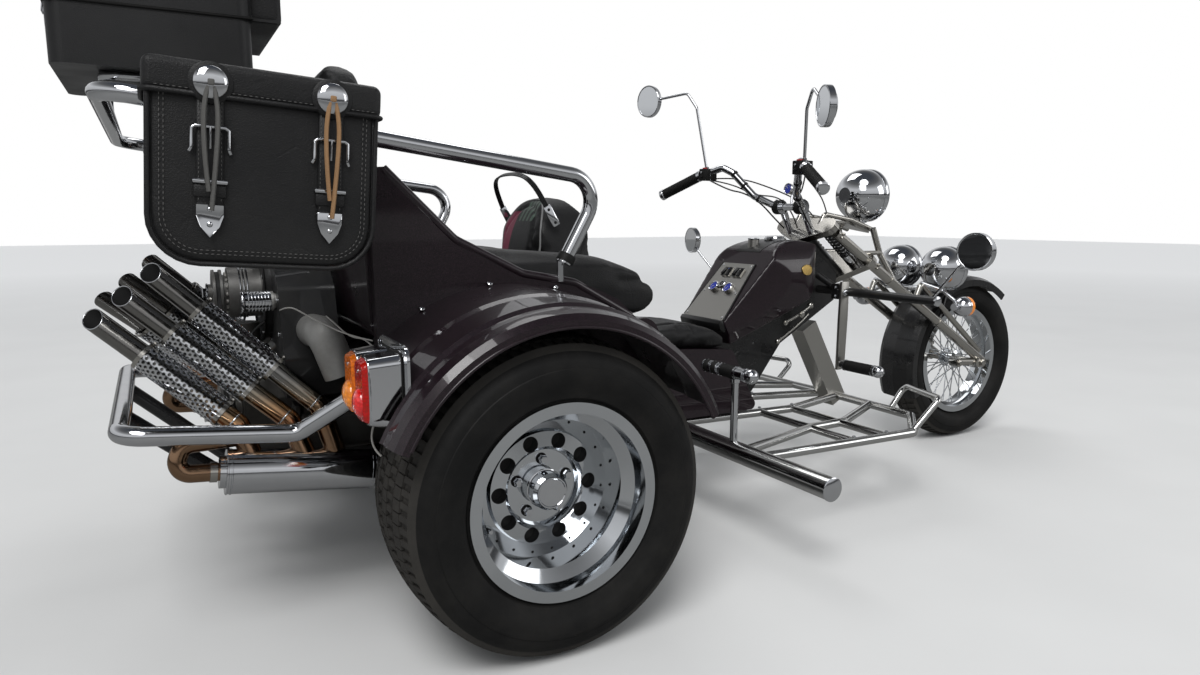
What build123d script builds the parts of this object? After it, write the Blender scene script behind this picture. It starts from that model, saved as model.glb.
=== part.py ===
from build123d import *
import math
import os

# Three-wheeled chopper in millimetres: +X forward, +Y left, +Z up, ground at Z = 0.
# Places along X are measured from the rear axle, and the saved pieces are moved
# so that the origin lies on the ground below the middle of the vehicle.

wheelbase = 2214.0
rear_reach = 850.0              # rear axle to the top case's back wall
rear_tyre_r = 338.0
rear_tyre_w = 300.0
rear_wheel_y = 668.0            # middle of a rear wheel
rear_rim_r = 208.5
rear_rim_w = 264.0
front_tyre_r = 325.0
front_tyre_w = 130.0
front_rim_r = 222.0
front_rim_w = 84.0
axle_shaft_r = 22.0
gap = 0.3                       # running and seating clearance
mid_x = (wheelbase + front_tyre_r - rear_reach) / 2

rake = math.radians(50.0)       # steering axis from the vertical
steer_top = (1360.0, 840.0)     # X, Z of the steering axis at the top yoke
stem_len = 205.0
stem_r = 14.0
head_r = 29.0

wing_y = 500.0                  # outer face of the seat body's side walls
wing_t = 30.0
shell_t = 14.0
floor_z = 650.0                 # middle of the seat body's floor
fender_arc = (-65.0, 67.0)      # degrees from straight up, rear and front ends
fender_lip_y = 835.0
rail_d = 34.0
bumper_d = 40.0
bumper_x = -782.0
bumper_y = 399.0
bumper_z = 485.0


def save(node, shape):
    part = Pos(-mid_x, 0, 0) * shape
    part.label = node
    export_step(part, os.path.join("parts", node + ".step"))


def rod(points, dia, bend=0.0):
    # round bar along straight stretches, with rounded corners where bend is given
    if bend:
        line = FilletPolyline(*points, radius=bend)
    else:
        line = Line(*points)
    return sweep(Plane(origin=line @ 0, z_dir=line % 0) * Circle(dia / 2), path=line)


def pipe(points, dia, wall, bend=0.0):
    # open-ended tube
    if bend:
        line = FilletPolyline(*points, radius=bend)
    else:
        line = Line(*points)
    ring = Circle(dia / 2) - Circle(dia / 2 - wall)
    return sweep(Plane(origin=line @ 0, z_dir=line % 0) * ring, path=line)


def side_plate(points, y0, y1):
    # flat plate cut to an X, Z outline between two places along Y
    face = Plane(origin=(0, y0, 0), x_dir=(1, 0, 0), z_dir=(0, -1, 0)) * make_face(Polyline(*points, close=True))
    return extrude(face, amount=-(y1 - y0))


def both(shape):
    return shape + mirror(shape, about=Plane.XZ)


def drum(x, y0, y1, z, r, bore=0.0):
    # cylinder or ring on an axis along Y
    disc = Circle(r) - Circle(bore) if bore else Circle(r)
    return extrude(Plane(origin=(x, y0, z), x_dir=(1, 0, 0), z_dir=(0, 1, 0)) * disc, amount=y1 - y0)


def post(x, y, z0, z1, r):
    return extrude(Plane(origin=(x, y, z0)) * Circle(r), amount=z1 - z0)


def along_x(x0, x1, y, z, r):
    return extrude(Plane(origin=(x0, y, z), z_dir=(1, 0, 0)) * Circle(r), amount=x1 - x0)


def box(x0, x1, y0, y1, z0, z1):
    return Pos((x0 + x1) / 2, (y0 + y1) / 2, (z0 + z1) / 2) * Box(x1 - x0, y1 - y0, z1 - z0)


def spun(points, axle_x, axle_y, axle_z, turn=0.0, arc=360.0):
    # section in (along the axle, radius) turned about an axle along Y
    axis = Axis((axle_x, axle_y, axle_z), (0, 1, 0))
    plane = Plane(origin=(axle_x, axle_y, axle_z), x_dir=(0, 1, 0), z_dir=(1, 0, 0))
    face = plane * make_face(Polyline(*points, close=True))
    if turn:
        face = face.rotate(axis, turn)
    return revolve(face, axis=axis, revolution_arc=arc)


tyre_facets = 48


def tyre(axle_x, axle_y, r, width, rim_r, rim_w):
    # section in flat facets round the axle, one of them lying on the ground
    half = width / 2
    seat = rim_w / 2 - 9
    wall = 11.0
    tread = half * 0.80
    bulge = rim_r + (r - rim_r) * 0.45
    foot = rim_r - 17
    side = [(seat, foot), (seat, rim_r + 3), (half - 7, bulge - 24), (half, bulge), (half - 5, bulge + 26),
            (tread, r - 12), (tread * 0.55, r)]
    lining = [(seat - wall, foot), (half - wall, bulge), (tread - wall, r - 12 - wall)]
    section = [*side, *[(-s, z) for s, z in reversed(side)], *[(-s, z) for s, z in lining], *reversed(lining)]
    turn = 2 * math.pi / tyre_facets
    reach = 1 / math.cos(turn / 2)
    rings = []
    for i in range(tyre_facets):
        a = (i + 0.5) * turn
        rings.append([(axle_x + d * reach * math.sin(a), axle_y + s, r - d * reach * math.cos(a)) for s, d in section])
    faces = []
    for here, there in zip(rings, [*rings[1:], rings[0]]):
        for k in range(len(section)):
            n = (k + 1) % len(section)
            faces.append(Face(Wire.make_polygon([here[k], here[n], there[n], there[k]], close=True)))
    return Solid(Shell(faces))


# rear wheels: deep dished rim with a round-holed centre disc, on a brake drum
hole_count = 10
hole_ring_r = 105.0
hole_r = 17.0
disc_s = 2.0                    # outer face of the disc, from the tyre's middle towards the outside
cap_s = 56.0
drum_r = 128.0


def rear_wheel(side):
    half = rear_rim_w / 2
    lip = rear_rim_r
    bead = rear_rim_r - 17.5
    well = 166.0
    bore = axle_shaft_r + gap
    # along the axle with + outwards, radius
    barrel = [(half, lip), (half - 7, lip), (half - 7, bead), (half - 40, bead), (half - 58, well), (-40, well),
              (-62, bead), (-half + 7, bead), (-half + 7, lip), (-half, lip), (-half, bead - 6),
              (-66, bead - 6), (-44, well - 6), (half - 62, well - 6), (half - 44, bead - 6), (half, bead - 6)]
    disc = [(disc_s - 8, bore), (disc_s - 8, well - 6), (disc_s, well - 6), (disc_s + 6, 128), (disc_s + 18, 124),
            (disc_s + 22, 92), (disc_s + 14, 84), (disc_s + 2, 80), (disc_s + 2, bore)]
    cap = [(disc_s + 2, 0), (disc_s + 2, 40), (cap_s - 8, 40), (cap_s, 32), (cap_s, 0)]
    y = side * rear_wheel_y
    rim = spun([(side * s, r) for s, r in barrel], 0, y, rear_tyre_r)
    rim += spun([(side * s, r) for s, r in disc], 0, y, rear_tyre_r)
    rim += spun([(side * s, r) for s, r in cap], 0, y, rear_tyre_r)
    for i in range(hole_count):
        a = 2 * math.pi * i / hole_count
        hx = hole_ring_r * math.cos(a)
        hz = rear_tyre_r + hole_ring_r * math.sin(a)
        rim -= drum(hx, y - 40, y + 40, hz, hole_r)
    shell = [(disc_s - 8 - gap, bore), (disc_s - 8 - gap, drum_r - 6), (disc_s - 14, drum_r), (-96, drum_r),
             (-96, drum_r - 6), (disc_s - 22, drum_r - 6), (disc_s - 22, bore)]
    brake = spun([(side * s, r) for s, r in shell], 0, y, rear_tyre_r)
    return rim + brake


os.makedirs("parts", exist_ok=True)

for name, side in (("right", -1), ("left", 1)):
    save("rim_rear_" + name, rear_wheel(side))
    save("tyre_rear_" + name, tyre(0, side * rear_wheel_y, rear_tyre_r, rear_tyre_w, rear_rim_r, rear_rim_w))


# front wheel: laced rim, hub and spokes
hub_r = 27.0
hub_half = 34.0
spoke_count = 40
spoke_r = 2.0


def front_wheel():
    half = front_rim_w / 2
    bead = front_rim_r - 17.5
    barrel = [(-half, front_rim_r), (-half + 6, front_rim_r), (-half + 6, bead), (-14, bead), (-8, bead - 12),
              (8, bead - 12), (14, bead), (half - 6, bead), (half - 6, front_rim_r), (half, front_rim_r),
              (half, bead - 5), (12, bead - 5), (9, bead - 17), (-9, bead - 17), (-12, bead - 5), (-half, bead - 5)]
    hub = [(-hub_half, 11), (-hub_half, hub_r), (-hub_half + 6, hub_r + 12), (-hub_half + 12, hub_r - 6),
           (hub_half - 12, hub_r - 6), (hub_half - 6, hub_r + 12), (hub_half, hub_r), (hub_half, 11)]
    wheel = spun(barrel, wheelbase, 0, front_tyre_r) + spun(hub, wheelbase, 0, front_tyre_r)
    spokes = []
    for i in range(spoke_count):
        flange = 1 if i % 2 else -1
        lean = math.radians(16 if i % 4 < 2 else -16)
        a = 2 * math.pi * i / spoke_count
        inner_r = hub_r + 4
        outer_r = bead - 14
        foot = (wheelbase + inner_r * math.cos(a + lean * 2), flange * (hub_half - 7),
                front_tyre_r + inner_r * math.sin(a + lean * 2))
        tip = (wheelbase + outer_r * math.cos(a), flange * 3, front_tyre_r + outer_r * math.sin(a))
        spokes.append(rod([foot, tip], 2 * spoke_r))
    return wheel + spokes


save("rim_front", front_wheel())
save("tyre_front", tyre(wheelbase, 0, front_tyre_r, front_tyre_w, front_rim_r, front_rim_w))


# steering: everything that turns about the raked axis
ax = (math.sin(rake), 0.0, -math.cos(rake))         # down the steering axis
up_n = (math.cos(rake), 0.0, math.sin(rake))        # forwards, square to the axis


def on_axis(down, out=0.0, y=0.0):
    # place given by the distance down the axis, and forwards from it
    return (steer_top[0] + down * ax[0] + out * up_n[0], y, steer_top[1] + down * ax[2] + out * up_n[2])


def yoke(down, out, leg_y, thick):
    # flat yoke plate square to the axis, reaching from the stem to the fork legs
    plane = Plane(origin=on_axis(down), x_dir=up_n, z_dir=ax)
    plate = make_hull([*Circle(34).edges(), *(Pos(out, leg_y) * Circle(30)).edges(),
                       *(Pos(out, -leg_y) * Circle(30)).edges()])
    return extrude(plane * plate, amount=thick)


leg_y = 112.0
leg_d = 36.0
leg_top = (1404.0, 856.0)
leg_foot = (wheelbase + 42, 328.0)
yoke_t = 24.0
rocker_x = wheelbase - 124


def leg_out(down):
    # forward offset of the leg line from the axis at a given depth
    top = (leg_top[0] - steer_top[0], leg_top[1] - steer_top[1])
    foot = (leg_foot[0] - steer_top[0], leg_foot[1] - steer_top[1])
    d0 = top[0] * ax[0] + top[1] * ax[2]
    d1 = foot[0] * ax[0] + foot[1] * ax[2]
    n0 = top[0] * up_n[0] + top[1] * up_n[2]
    n1 = foot[0] * up_n[0] + foot[1] * up_n[2]
    return n0 + (n1 - n0) * (down - d0) / (d1 - d0)


def on_leg(share, y, ahead=0.0, rise=0.0):
    # place on a fork leg by its share of the way down, moved forwards and up from there
    return (leg_top[0] + share * (leg_foot[0] - leg_top[0]) + ahead, y,
            leg_top[1] + share * (leg_foot[1] - leg_top[1]) + rise)


def strut_top(y):
    return on_leg(0.5, y, 32, 70)


def fork():
    body = yoke(0, leg_out(12), leg_y, -yoke_t)
    body += yoke(stem_len, leg_out(stem_len), leg_y, yoke_t)
    body += rod([on_axis(-yoke_t), on_axis(stem_len + yoke_t)], 2 * stem_r)
    for side in (-1, 1):
        y = side * leg_y
        body += rod([on_leg(0, y), on_leg(1, y)], leg_d)
        # front strut from the lamp bracket to the rocker
        body += rod([on_leg(0.5, y), strut_top(y), (wheelbase + 18, y, 372)], 22, 14)
        body += rod([(rocker_x, y, front_tyre_r + 11), (wheelbase + 20, y, front_tyre_r)], 30)
        body += drum(wheelbase, side * (leg_y - 16), side * (leg_y + 22), front_tyre_r, 20)
        body += drum(rocker_x, side * (leg_y - 16), side * (leg_y + 22), front_tyre_r + 11, 17)
    body += drum(wheelbase, -leg_y, leg_y, front_tyre_r, 10.5)
    body += drum(wheelbase, -leg_y + 14, -hub_half - 1, front_tyre_r, 15)
    body += drum(wheelbase, hub_half + 1, leg_y - 14, front_tyre_r, 15)
    # platform for the headlight, with its two bent supports and braces
    body += extrude(Plane(origin=(1590, 0, 872), x_dir=(math.cos(0.2), 0, -math.sin(0.2)),
                          z_dir=(math.sin(0.2), 0, math.cos(0.2))) * Trapezoid(150, 200, 70, rotation=-90), amount=8)
    for side in (-1, 1):
        y = side * leg_y
        body += rod([(1376, side * 60, 884), (1400, side * 60, 922), (1530, side * 60, 902), (1640, side * 60, 866)], 18, 14)
        body += rod([(1618, side * 84, 872), (1650, side * 92, 780), on_leg(0.378, y)], 22, 60)
        body += rod([on_leg(0.136, y), (1648, side * 98, 782)], 16)
    return body


fork_body = fork()
save("fork", fork_body)


def spring(y, d0, d1, radius, out):
    # sprung strut: cup, piled coils as rings, and a polished lower sleeve
    body = rod([on_axis(d0, out, y), on_axis(d1, out, y)], 14)
    turns = 9
    pitch = (d1 - d0 - 70) / turns
    for i in range(turns):
        plane = Plane(origin=on_axis(d0 + 14 + i * pitch, out, y), z_dir=ax)
        body += extrude(plane * Circle(radius), amount=pitch * 0.45)
    body += rod([on_axis(d0, out, y), on_axis(d0 + 10, out, y)], 2 * radius)
    body += rod([on_axis(d1 - 54, out, y), on_axis(d1, out, y)], 2 * radius - 4)
    return body


save("fork_springs", both(spring(60, gap, stem_len - gap, 21, 50)))

grip_d = 34.0
bar_d = 25.4
clamp_y = 55.0
bar_path = [(1291, 0, 947), (1291, 64, 947), (1218, 110, 987), (1168, 170, 1070), (1145, 202, 1090),
            (1098, 278, 1062), (1036, 412, 1000)]


def handlebar():
    half = rod(bar_path, bar_d, 24)
    half += rod([(1098, 278, 1062), (1032, 421, 996)], grip_d)
    half += box(1085, 1140, 232, 262, 1046, 1086)
    half += rod([(1298, clamp_y - 2, 955), on_axis(-10, 0, clamp_y - 2)], 26)
    half += drum(1291, clamp_y - 15, clamp_y + 15, 947, 24)
    return both(half)


bar_body = handlebar() - fork_body
save("handlebar", bar_body)

# each mirror is set to the rider's eye by its own stem: X of its middle, distance out, Z
left_mirror = (990.0, 472.0, 1346.0)
right_mirror = (990.0, 462.0, 1222.0)
mirror_size = (58.0, 50.0)


def bar_mirror(side, middle):
    x, y, z = middle
    crook = z + 18 if z > 1300 else z + 74
    stem = rod([(1112, side * 255, 1086), (1085, side * 286, crook - 56), (1070, side * 326, crook),
                (x + 8, side * (y - 8), z + 2)], 10, 22)
    glass = Plane(origin=(x + 14, side * y, z), x_dir=(0, 0, 1), z_dir=(-0.93, -side * 0.36, 0))
    return stem + extrude(glass * Ellipse(*mirror_size), amount=18)


save("bar_mirrors", bar_mirror(1, left_mirror) + bar_mirror(-1, right_mirror) - bar_body)

lamp_d = 178.0
head_c = (1677.0, 0.0, 992.0)


def cap_arc(centre, radius, a0, a1):
    # arc of a circle centred on the lamp's own axis, angles in radians
    p, q, r = [(radius * math.cos(a), centre + radius * math.sin(a)) for a in (a0, (a0 + a1) / 2, a1)]
    return ThreePointArc(p, q, r)


def bowl(x, y, z, dia, depth, dome):
    # round lamp facing forward: spherical bowl behind, rim, domed glass
    r = dia / 2
    back = r * 0.3
    rim = 16.0
    c0 = (r * r - back * back - depth * depth) / (2 * depth)
    shell = cap_arc(c0, math.hypot(r, c0), math.atan2(-depth - c0, back), math.atan2(-c0, r))
    big = (r * r + dome * dome) / (2 * dome)
    glass = cap_arc(rim + dome - big, big, math.acos(r / big), math.pi / 2)
    face = make_face([Line((0, -depth), (back, -depth)), shell, Line((r, 0), (r, rim)), glass,
                      Line((0, rim + dome), (0, -depth))])
    return Pos(x, y, z) * Rot(0, 90, 0) * revolve(Plane.XZ * face, axis=Axis.Z)


def headlight():
    x, y, z = head_c
    body = bowl(x - 10, y, z, 189, 112, 12)
    body += rod([(x - 30, 0, z - 60), (x - 30, 0, 864)], 26)
    return body


save("headlight", headlight() - fork_body)

aux_c = (wheelbase - 201, 104.0, 713.0)


def aux_lamps():
    x, y, z = aux_c
    body = both(bowl(x, y, z, 168, 100, 10))
    body += rod([(x - 60, -y - 40, z - 80), (x - 60, y + 40, z - 80)], 22)
    body += both(rod([(x - 60, y, z - 80), (x - 46, y, z - 40)], 20))
    body += both(rod([(x - 60, y + 30, z - 80), strut_top(leg_y)], 18))
    return body


def indicators():
    x = aux_c[0] - 63
    one = bowl(x, 240, 580, 72, 44, 9) + along_x(x - 60, x - 38, 240, 580, 13)
    one += rod([(x - 20, 232, 588), (x + 2, 140, aux_c[2] - 80)], 14)
    return both(one)


save("front_lamps", aux_lamps() + indicators() - fork_body)

fender_in = front_tyre_r + 18
fender_half = 84.0


def front_fender():
    t = 6.0
    arch = [(-fender_half, fender_in - 34), (-fender_half, fender_in - 8), (-fender_half + 22, fender_in + 4),
            (0, fender_in + 9), (fender_half - 22, fender_in + 4), (fender_half, fender_in - 8),
            (fender_half, fender_in - 34), (fender_half - t, fender_in - 34), (fender_half - t, fender_in - 11),
            (fender_half - 24, fender_in - 2), (0, fender_in + 3), (-fender_half + 24, fender_in - 2),
            (-fender_half + t, fender_in - 11), (-fender_half + t, fender_in - 34)]
    skin = spun(arch, wheelbase, 0, front_tyre_r, turn=-112, arc=150)
    skin += both(rod([(wheelbase - 165, fender_half - 2, front_tyre_r + 282), on_leg(0.6737, leg_y)], 12))
    return skin


save("front_fender", front_fender() - fork_body)


# frame: steering head, deep backbone under the tank, rails back to the engine
back_y = 45.0
tank_floor = [(955.0, 492.0), (1250.0, 632.0), (1338.0, 706.0)]
head_back = head_r - 6
frame_side = [(700, 300), (700, 430), (tank_floor[0][0], tank_floor[0][1] - gap),
              (tank_floor[1][0], tank_floor[1][1] - gap), (tank_floor[2][0], tank_floor[2][1] - gap),
              (on_axis(22, -head_back)[0], on_axis(22, -head_back)[2]),
              (on_axis(stem_len - 22, -head_back)[0], on_axis(stem_len - 22, -head_back)[2]),
              (1476, 612), (1226, 470), (1070, 268), (760, 262)]
rail_y = 130.0
rail_z = 262.0
leg_sec = 70.0


def frame():
    body = side_plate(frame_side, -back_y, back_y)
    head = rod([on_axis(gap), on_axis(stem_len - gap)], 2 * head_r)
    body += head
    body -= rod([on_axis(-20), on_axis(stem_len + 20)], 2 * (stem_r + gap))
    for side in (-1, 1):
        body += rod([(740, side * 30, 300), (600, side * rail_y, rail_z), (-545, side * rail_y, rail_z),
                     (bumper_x + 6, side * 168, bumper_z - 14)], 36, 60)
        # posts that carry the seat body's floor
        for x in (200, -90):
            body += post(x, side * rail_y, rail_z, floor_z - shell_t / 2 - gap, 15)
    for x in (560, 60, -240):
        body += drum(x, -rail_y, rail_y, rail_z, 17)
    return body


frame_body = frame()
save("frame", frame_body)


def front_leg():
    top = Vector(1372, 0, 520)
    foot = Vector(1538, 0, 226)
    run = foot - top
    plane = Plane(origin=top, x_dir=(0, 1, 0), z_dir=run)
    leg = extrude(plane * Rectangle(leg_sec, leg_sec), amount=run.length)
    leg -= side_plate(frame_side, -back_y - 60, back_y + 60)
    return leg


leg_body = front_leg()
save("front_leg", leg_body)

board_z = 245.0
step_x = 745.0
step_y = 790.0
step_d = 60.0
board_d = 28.0
# X, Y of the tubes on one side
board_tubes = [
    [(1528, 34), (1514, 385), (1340, 538), (step_x, 510)],
    [(step_x, 440), (1104, 338), (1254, 333), (1516, 200)],
    [(step_x, 74), (1229, 109), (1506, 34)],
]
board_cross = [(1100, 92, 522), (1232, 108, 528)]


def footboards():
    side = Part()
    for path in board_tubes:
        side += rod([(x, y, board_z) for x, y in path], board_d, 22)
    for x, y0, y1 in board_cross:
        side += drum(x, y0, y1, board_z, 12)
    side += rod([(1519, 290, board_z), (1596, 285, 322), (1444, 548, 344), (1346, 530, board_z)], 20, 24)
    return both(side) + drum(step_x, -step_y, step_y, board_z - 8, step_d / 2)


save("footboards", footboards() - frame_body - leg_body)

peg_d = 36.0


def pillion_pegs():
    y = 395.0
    z = 468.0
    one = post(step_x, y, board_z - 8 + step_d / 2 + gap, z - 6, 11)
    one += drum(step_x, 252, 330, z, peg_d / 2 - 2)
    for y0, y1 in ((262, 284), (298, 320), (340, 400), (410, 440)):
        one += drum(step_x, y0, y1, z, peg_d / 2)
    one += drum(step_x, 330, 462, z, peg_d / 2 - 3)
    one += Pos(step_x, 466, z) * Sphere(21)
    return both(one)


save("pillion_pegs", pillion_pegs())

bar_x = 1400.0
bar_z = 655.0


def highway_bar():
    body = drum(bar_x, -552, 552, bar_z, 14.5)
    for side in (-1, 1):
        y = side * 149
        body += box(bar_x - 24, bar_x + 24, y - 17, y + 17, bar_z - 26, bar_z + 26)
        body += rod([(bar_x - 22, side * 60, bar_z + 52), (bar_x, side * 152, bar_z)], 24)
        strap = side_plate([(1366, 690), (1398, 690), (1398, 566), (1392, 386), (1360, 386), (1362, 566)],
                           side * 182, side * 190)
        body += strap + drum(bar_x - 16, side * 160, side * 190, bar_z, 12)
        body += drum(1376, side * 186, side * 232, 404, 11) + drum(1376, side * 214, side * 352, 404, 17)
        body += Pos(1376, side * 356, 404) * Sphere(20)
    body -= side_plate(frame_side, -back_y, back_y)
    return body


save("highway_bar", highway_bar())

low_mirror = (1366.0, 693.0, 813.0)


def low_mirrors():
    x, y, z = low_mirror
    one = rod([(1390, 544, bar_z + 14.5 + gap), (x - 2, y - 46, z - 44)], 9)
    one += rod([(x - 2, y - 46, z - 44), (x + 8, y, z)], 9)
    one += extrude(Plane(origin=(x + 12, y, z), z_dir=(-1, 0.15, 0)) * Circle(54), amount=18)
    return both(one)


save("low_mirrors", low_mirrors())

# creased tank: side outline cut by a bellied cross-section and a plan that narrows to the steering head
tank_half = 165.0


def tank():
    side = Polyline((1134, 812), (1112, 800), (918, 571), *tank_floor, (1339, 745))
    nose = ThreePointArc((1339, 745), (1331, 787), (1306, 820))
    crown = ThreePointArc((1306, 820), (1226, 833), (1134, 812))
    outline = Plane(origin=(0, -tank_half, 0), x_dir=(1, 0, 0), z_dir=(0, -1, 0)) * make_face([side, nose, crown])
    body = extrude(outline, amount=-2 * tank_half)
    plan = Line((900, 112), (1160, tank_half)) + ThreePointArc((1160, tank_half), (1262, 152), (1346, 56))
    top = make_face([*plan.edges(), *mirror(plan, about=Plane.XZ).edges(), Line((900, -112), (900, 112)),
                     Line((1346, -56), (1346, 56))])
    belly = Line((96, 480), (132, 560)) + ThreePointArc((132, 560), (158, 644), (tank_half, 724))
    belly += ThreePointArc((tank_half, 724), (140, 792), (92, 836))
    ends = make_face([*belly.edges(), *mirror(belly, about=Plane.YZ).edges(), Line((-96, 480), (96, 480)),
                      Line((-92, 836), (92, 836))])
    body &= extrude(top, amount=900)
    body &= extrude(Plane(origin=(900, 0, 0), x_dir=(0, 1, 0), z_dir=(1, 0, 0)) * ends, amount=480)
    return body


tank_body = tank()
save("fuel_tank", tank_body)

panel_foot = (918.0, 571.0)
panel_head = (1112.0, 800.0)
# along the panel from its foot, across it, radius of each gauge bezel
gauges = [(128, -38, 20), (128, 38, 20), (140, 0, 15), (246, 26, 15), (262, -24, 17)]


def dash_panel():
    run = Vector(panel_head[0] - panel_foot[0], 0, panel_head[1] - panel_foot[1])
    plane = Plane(origin=(panel_foot[0], 0, panel_foot[1]), x_dir=run, z_dir=(-run.Z, 0, run.X))
    plate = make_face(Polyline((4, -108), (236, -82), (236, 82), (4, 108), close=True))
    body = extrude(plane.offset(gap) * plate, amount=4)
    for s, y, r in gauges[:3]:
        body += extrude(plane.offset(gap + 4) * Pos(s, y) * Circle(r), amount=7)
    for y in (-46, -22, 14, 38):
        body += extrude(plane.offset(gap + 4) * Pos(196, y) * Rectangle(34, 17), amount=5)
    return body


def fuel_cap():
    # filler cap, and the round gauge behind it
    lids = post(1222, -6, 800, 844, 33) + post(1140, 12, 790, 834, 19)
    return lids - Pos(0, 0, gap) * tank_body


save("tank_fittings", dash_panel() + fuel_cap())

# seat tub over the backbone, and its pad
tub_half = 150.0
tub_side = [(466, 640), (596, 512), (860, 492), (930, 484), (1010, 330), (1046, 276), (466, 276)]


def seat_tub():
    body = side_plate(tub_side, -tub_half, tub_half)
    body = fillet(body.edges().filter_by(Axis.Y), 18)
    body -= side_plate(frame_side, -back_y - gap, back_y + gap)
    body -= box(400, 720, -rail_y - 24, rail_y + 24, 240, 296)
    body -= box(440, 1060, -104, 104, 240, 420)
    return body


save("seat_tub", seat_tub())
pad_side = [(606, 512 + gap), (600, 570), (700, 572), (860, 556), (902, 530), (906, 491), (860, 492 + gap)]
save("driver_seat", fillet(side_plate(pad_side, -152, 152).edges().filter_by(Axis.Y), 8))

# moulded seat body: two swept-up side walls, back, floor and front apron
wing_top = [(-300, 1012), (-270, 1014), (-212, 965), (-142, 888), (-93, 846), (-45, 816), (29, 785), (89, 771),
            (173, 761), (232, 740), (291, 712), (343, 665), (388, 604)]
apron = [(-308, 1000), (-296, floor_z), (408, floor_z), (452, 560), (456, 436)]


def seat_body():
    outline = wing_top + [(430, 500), (440, 430), (380, 430), (330, 520), (-296, 520)]
    wall = side_plate(outline, wing_y - wing_t, wing_y)
    skin = Plane(origin=(0, wing_y - wing_t + 2, 0), x_dir=(1, 0, 0), z_dir=(0, -1, 0)) * trace(
        FilletPolyline(*apron, radius=40), shell_t)
    body = both(wall) + extrude(skin, amount=2 * (wing_y - wing_t + 2))
    for side in (-1, 1):
        body += rod([(x, side * (wing_y - 8), z) for x, z in
                     [(-270, 1010), (-120, 862), (40, 782), (173, 757), (330, 668)]], 22, 60)
    return body


seat_shell = seat_body()
save("seat_body", seat_shell)

# section of the fender in (inwards from the lip, radius), turned over the wheel
fender_r = rear_tyre_r + 26     # inner edge of the lip
fender_skin = [(0, fender_r), (0, fender_r + 14), (12, fender_r + 26), (34, fender_r + 33), (56, fender_r + 35),
               (66, fender_r + 42), (150, fender_r + 47), (164, fender_r + 52),
               (fender_lip_y - wing_y - gap, fender_r + 60)]
fender_t = 7.0
lamp_x = -0.9 * rear_tyre_r    # plane that closes the fender behind the tail lamps
lamp_z = rear_tyre_r + 250
lamp_out = fender_lip_y - 63


def fender(side):
    outer = [(side * (fender_lip_y - s), r) for s, r in fender_skin]
    inner = [(side * (fender_lip_y - max(s, fender_t)), r - fender_t) for s, r in fender_skin[1:]]
    lip = [(side * (fender_lip_y - fender_t), fender_r)]
    start, end = fender_arc
    skin = spun(outer + inner[::-1] + lip, 0, 0, rear_tyre_r, turn=start, arc=end - start)
    near, far = sorted((side * (wing_y - 10), side * lamp_out))
    return skin - box(lamp_x - 160, lamp_x, near, far, rear_tyre_r + 62, rear_tyre_r + 382)


save("rear_fenders", fender(-1) + fender(1))

# bench cushion, open at the front middle round the driver's backrest
rest_y = 152.0
floor_top = floor_z + shell_t / 2 + gap
cushion_side = [(-236, floor_top), (-252, 834), (-60, 828), (300, 802), (400, 776), (452, 724), (446, 684),
                (404, floor_top)]


def bench_cushion():
    body = side_plate(cushion_side, -wing_y + wing_t + 4, wing_y - wing_t - 4)
    return body - box(222, 470, -rest_y - 6, rest_y + 6, 640, 850)


save("bench_cushion", bench_cushion())
rest_side = [(232, floor_top), (232, 780), (252, 900), (282, 962), (320, 982), (372, 972), (404, 930), (420, 800),
             (424, floor_top)]


def driver_backrest():
    body = side_plate(rest_side, -rest_y, rest_y)
    crown = Plane(origin=(200, 0, 0), x_dir=(0, 1, 0), z_dir=(1, 0, 0)) * make_face([
        Line((-rest_y, 640), (rest_y, 640)), Line((rest_y, 640), (rest_y, 800)),
        ThreePointArc((rest_y, 800), (0, 984), (-rest_y, 800)), Line((-rest_y, 800), (-rest_y, 640))])
    return body & extrude(crown, amount=260)


save("driver_backrest", driver_backrest())
back_side = [(-294.6, 840), (-300.4, 1010), (-344, 1250), (-326, 1270), (-288, 1272), (-262, 1250), (-208, 838)]
back_half = 300.0


def bench_backrest():
    body = side_plate(back_side, -back_half, back_half)
    crown = Plane(origin=(-400, 0, 0), x_dir=(0, 1, 0), z_dir=(1, 0, 0)) * RectangleRounded(2 * back_half, 600, 110)
    return body & (Pos(0, 0, 972) * extrude(crown, amount=300))


save("bench_backrest", bench_backrest())

# handrail round the bench, with the carrier for the top case
rail_path = [(-763, 0, 1127), (-763, 557, 1127), (-276, 548, 1063), (236, 528, 996), (133, 520, 806)]
carrier_z = 1202.0
carrier_d = 18.0


def handrail():
    half = rod(rail_path, rail_d, 62)
    half += post(134, wing_y - 1, 762, 812, 8)
    half += rod([(-440, 548, 1084), (-331, 446, 988)], 22)
    half += box(-345, -315.3, 424, 464, 966, 1000)
    half += post(-763, 150, 1127, carrier_z, 9)
    half += rod([(-763, 0, carrier_z), (-763, 190, carrier_z), (-500, 190, carrier_z), (-500, 0, carrier_z)],
                carrier_d, 30)
    half += rod([(-500, 150, carrier_z), (-440, 150, 1150), (-334, 150, 992)], carrier_d, 40)
    half += box(-345, -315.3, 132, 168, 966, 1000)
    return both(half)


save("handrail", handrail() - seat_shell)

case_x = (-850.0, -476.0)
case_half = 250.0
case_z = (carrier_z + carrier_d / 2 + gap, 1326.0, 1552.0)
case_t = 5.0


def case_block(inset, z0, z1):
    x0, x1 = case_x
    outline = Pos((x0 + x1) / 2, 0, z0) * RectangleRounded(x1 - x0 - 2 * inset, 2 * (case_half - inset), 28 - inset)
    return extrude(outline, amount=z1 - z0)


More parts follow.
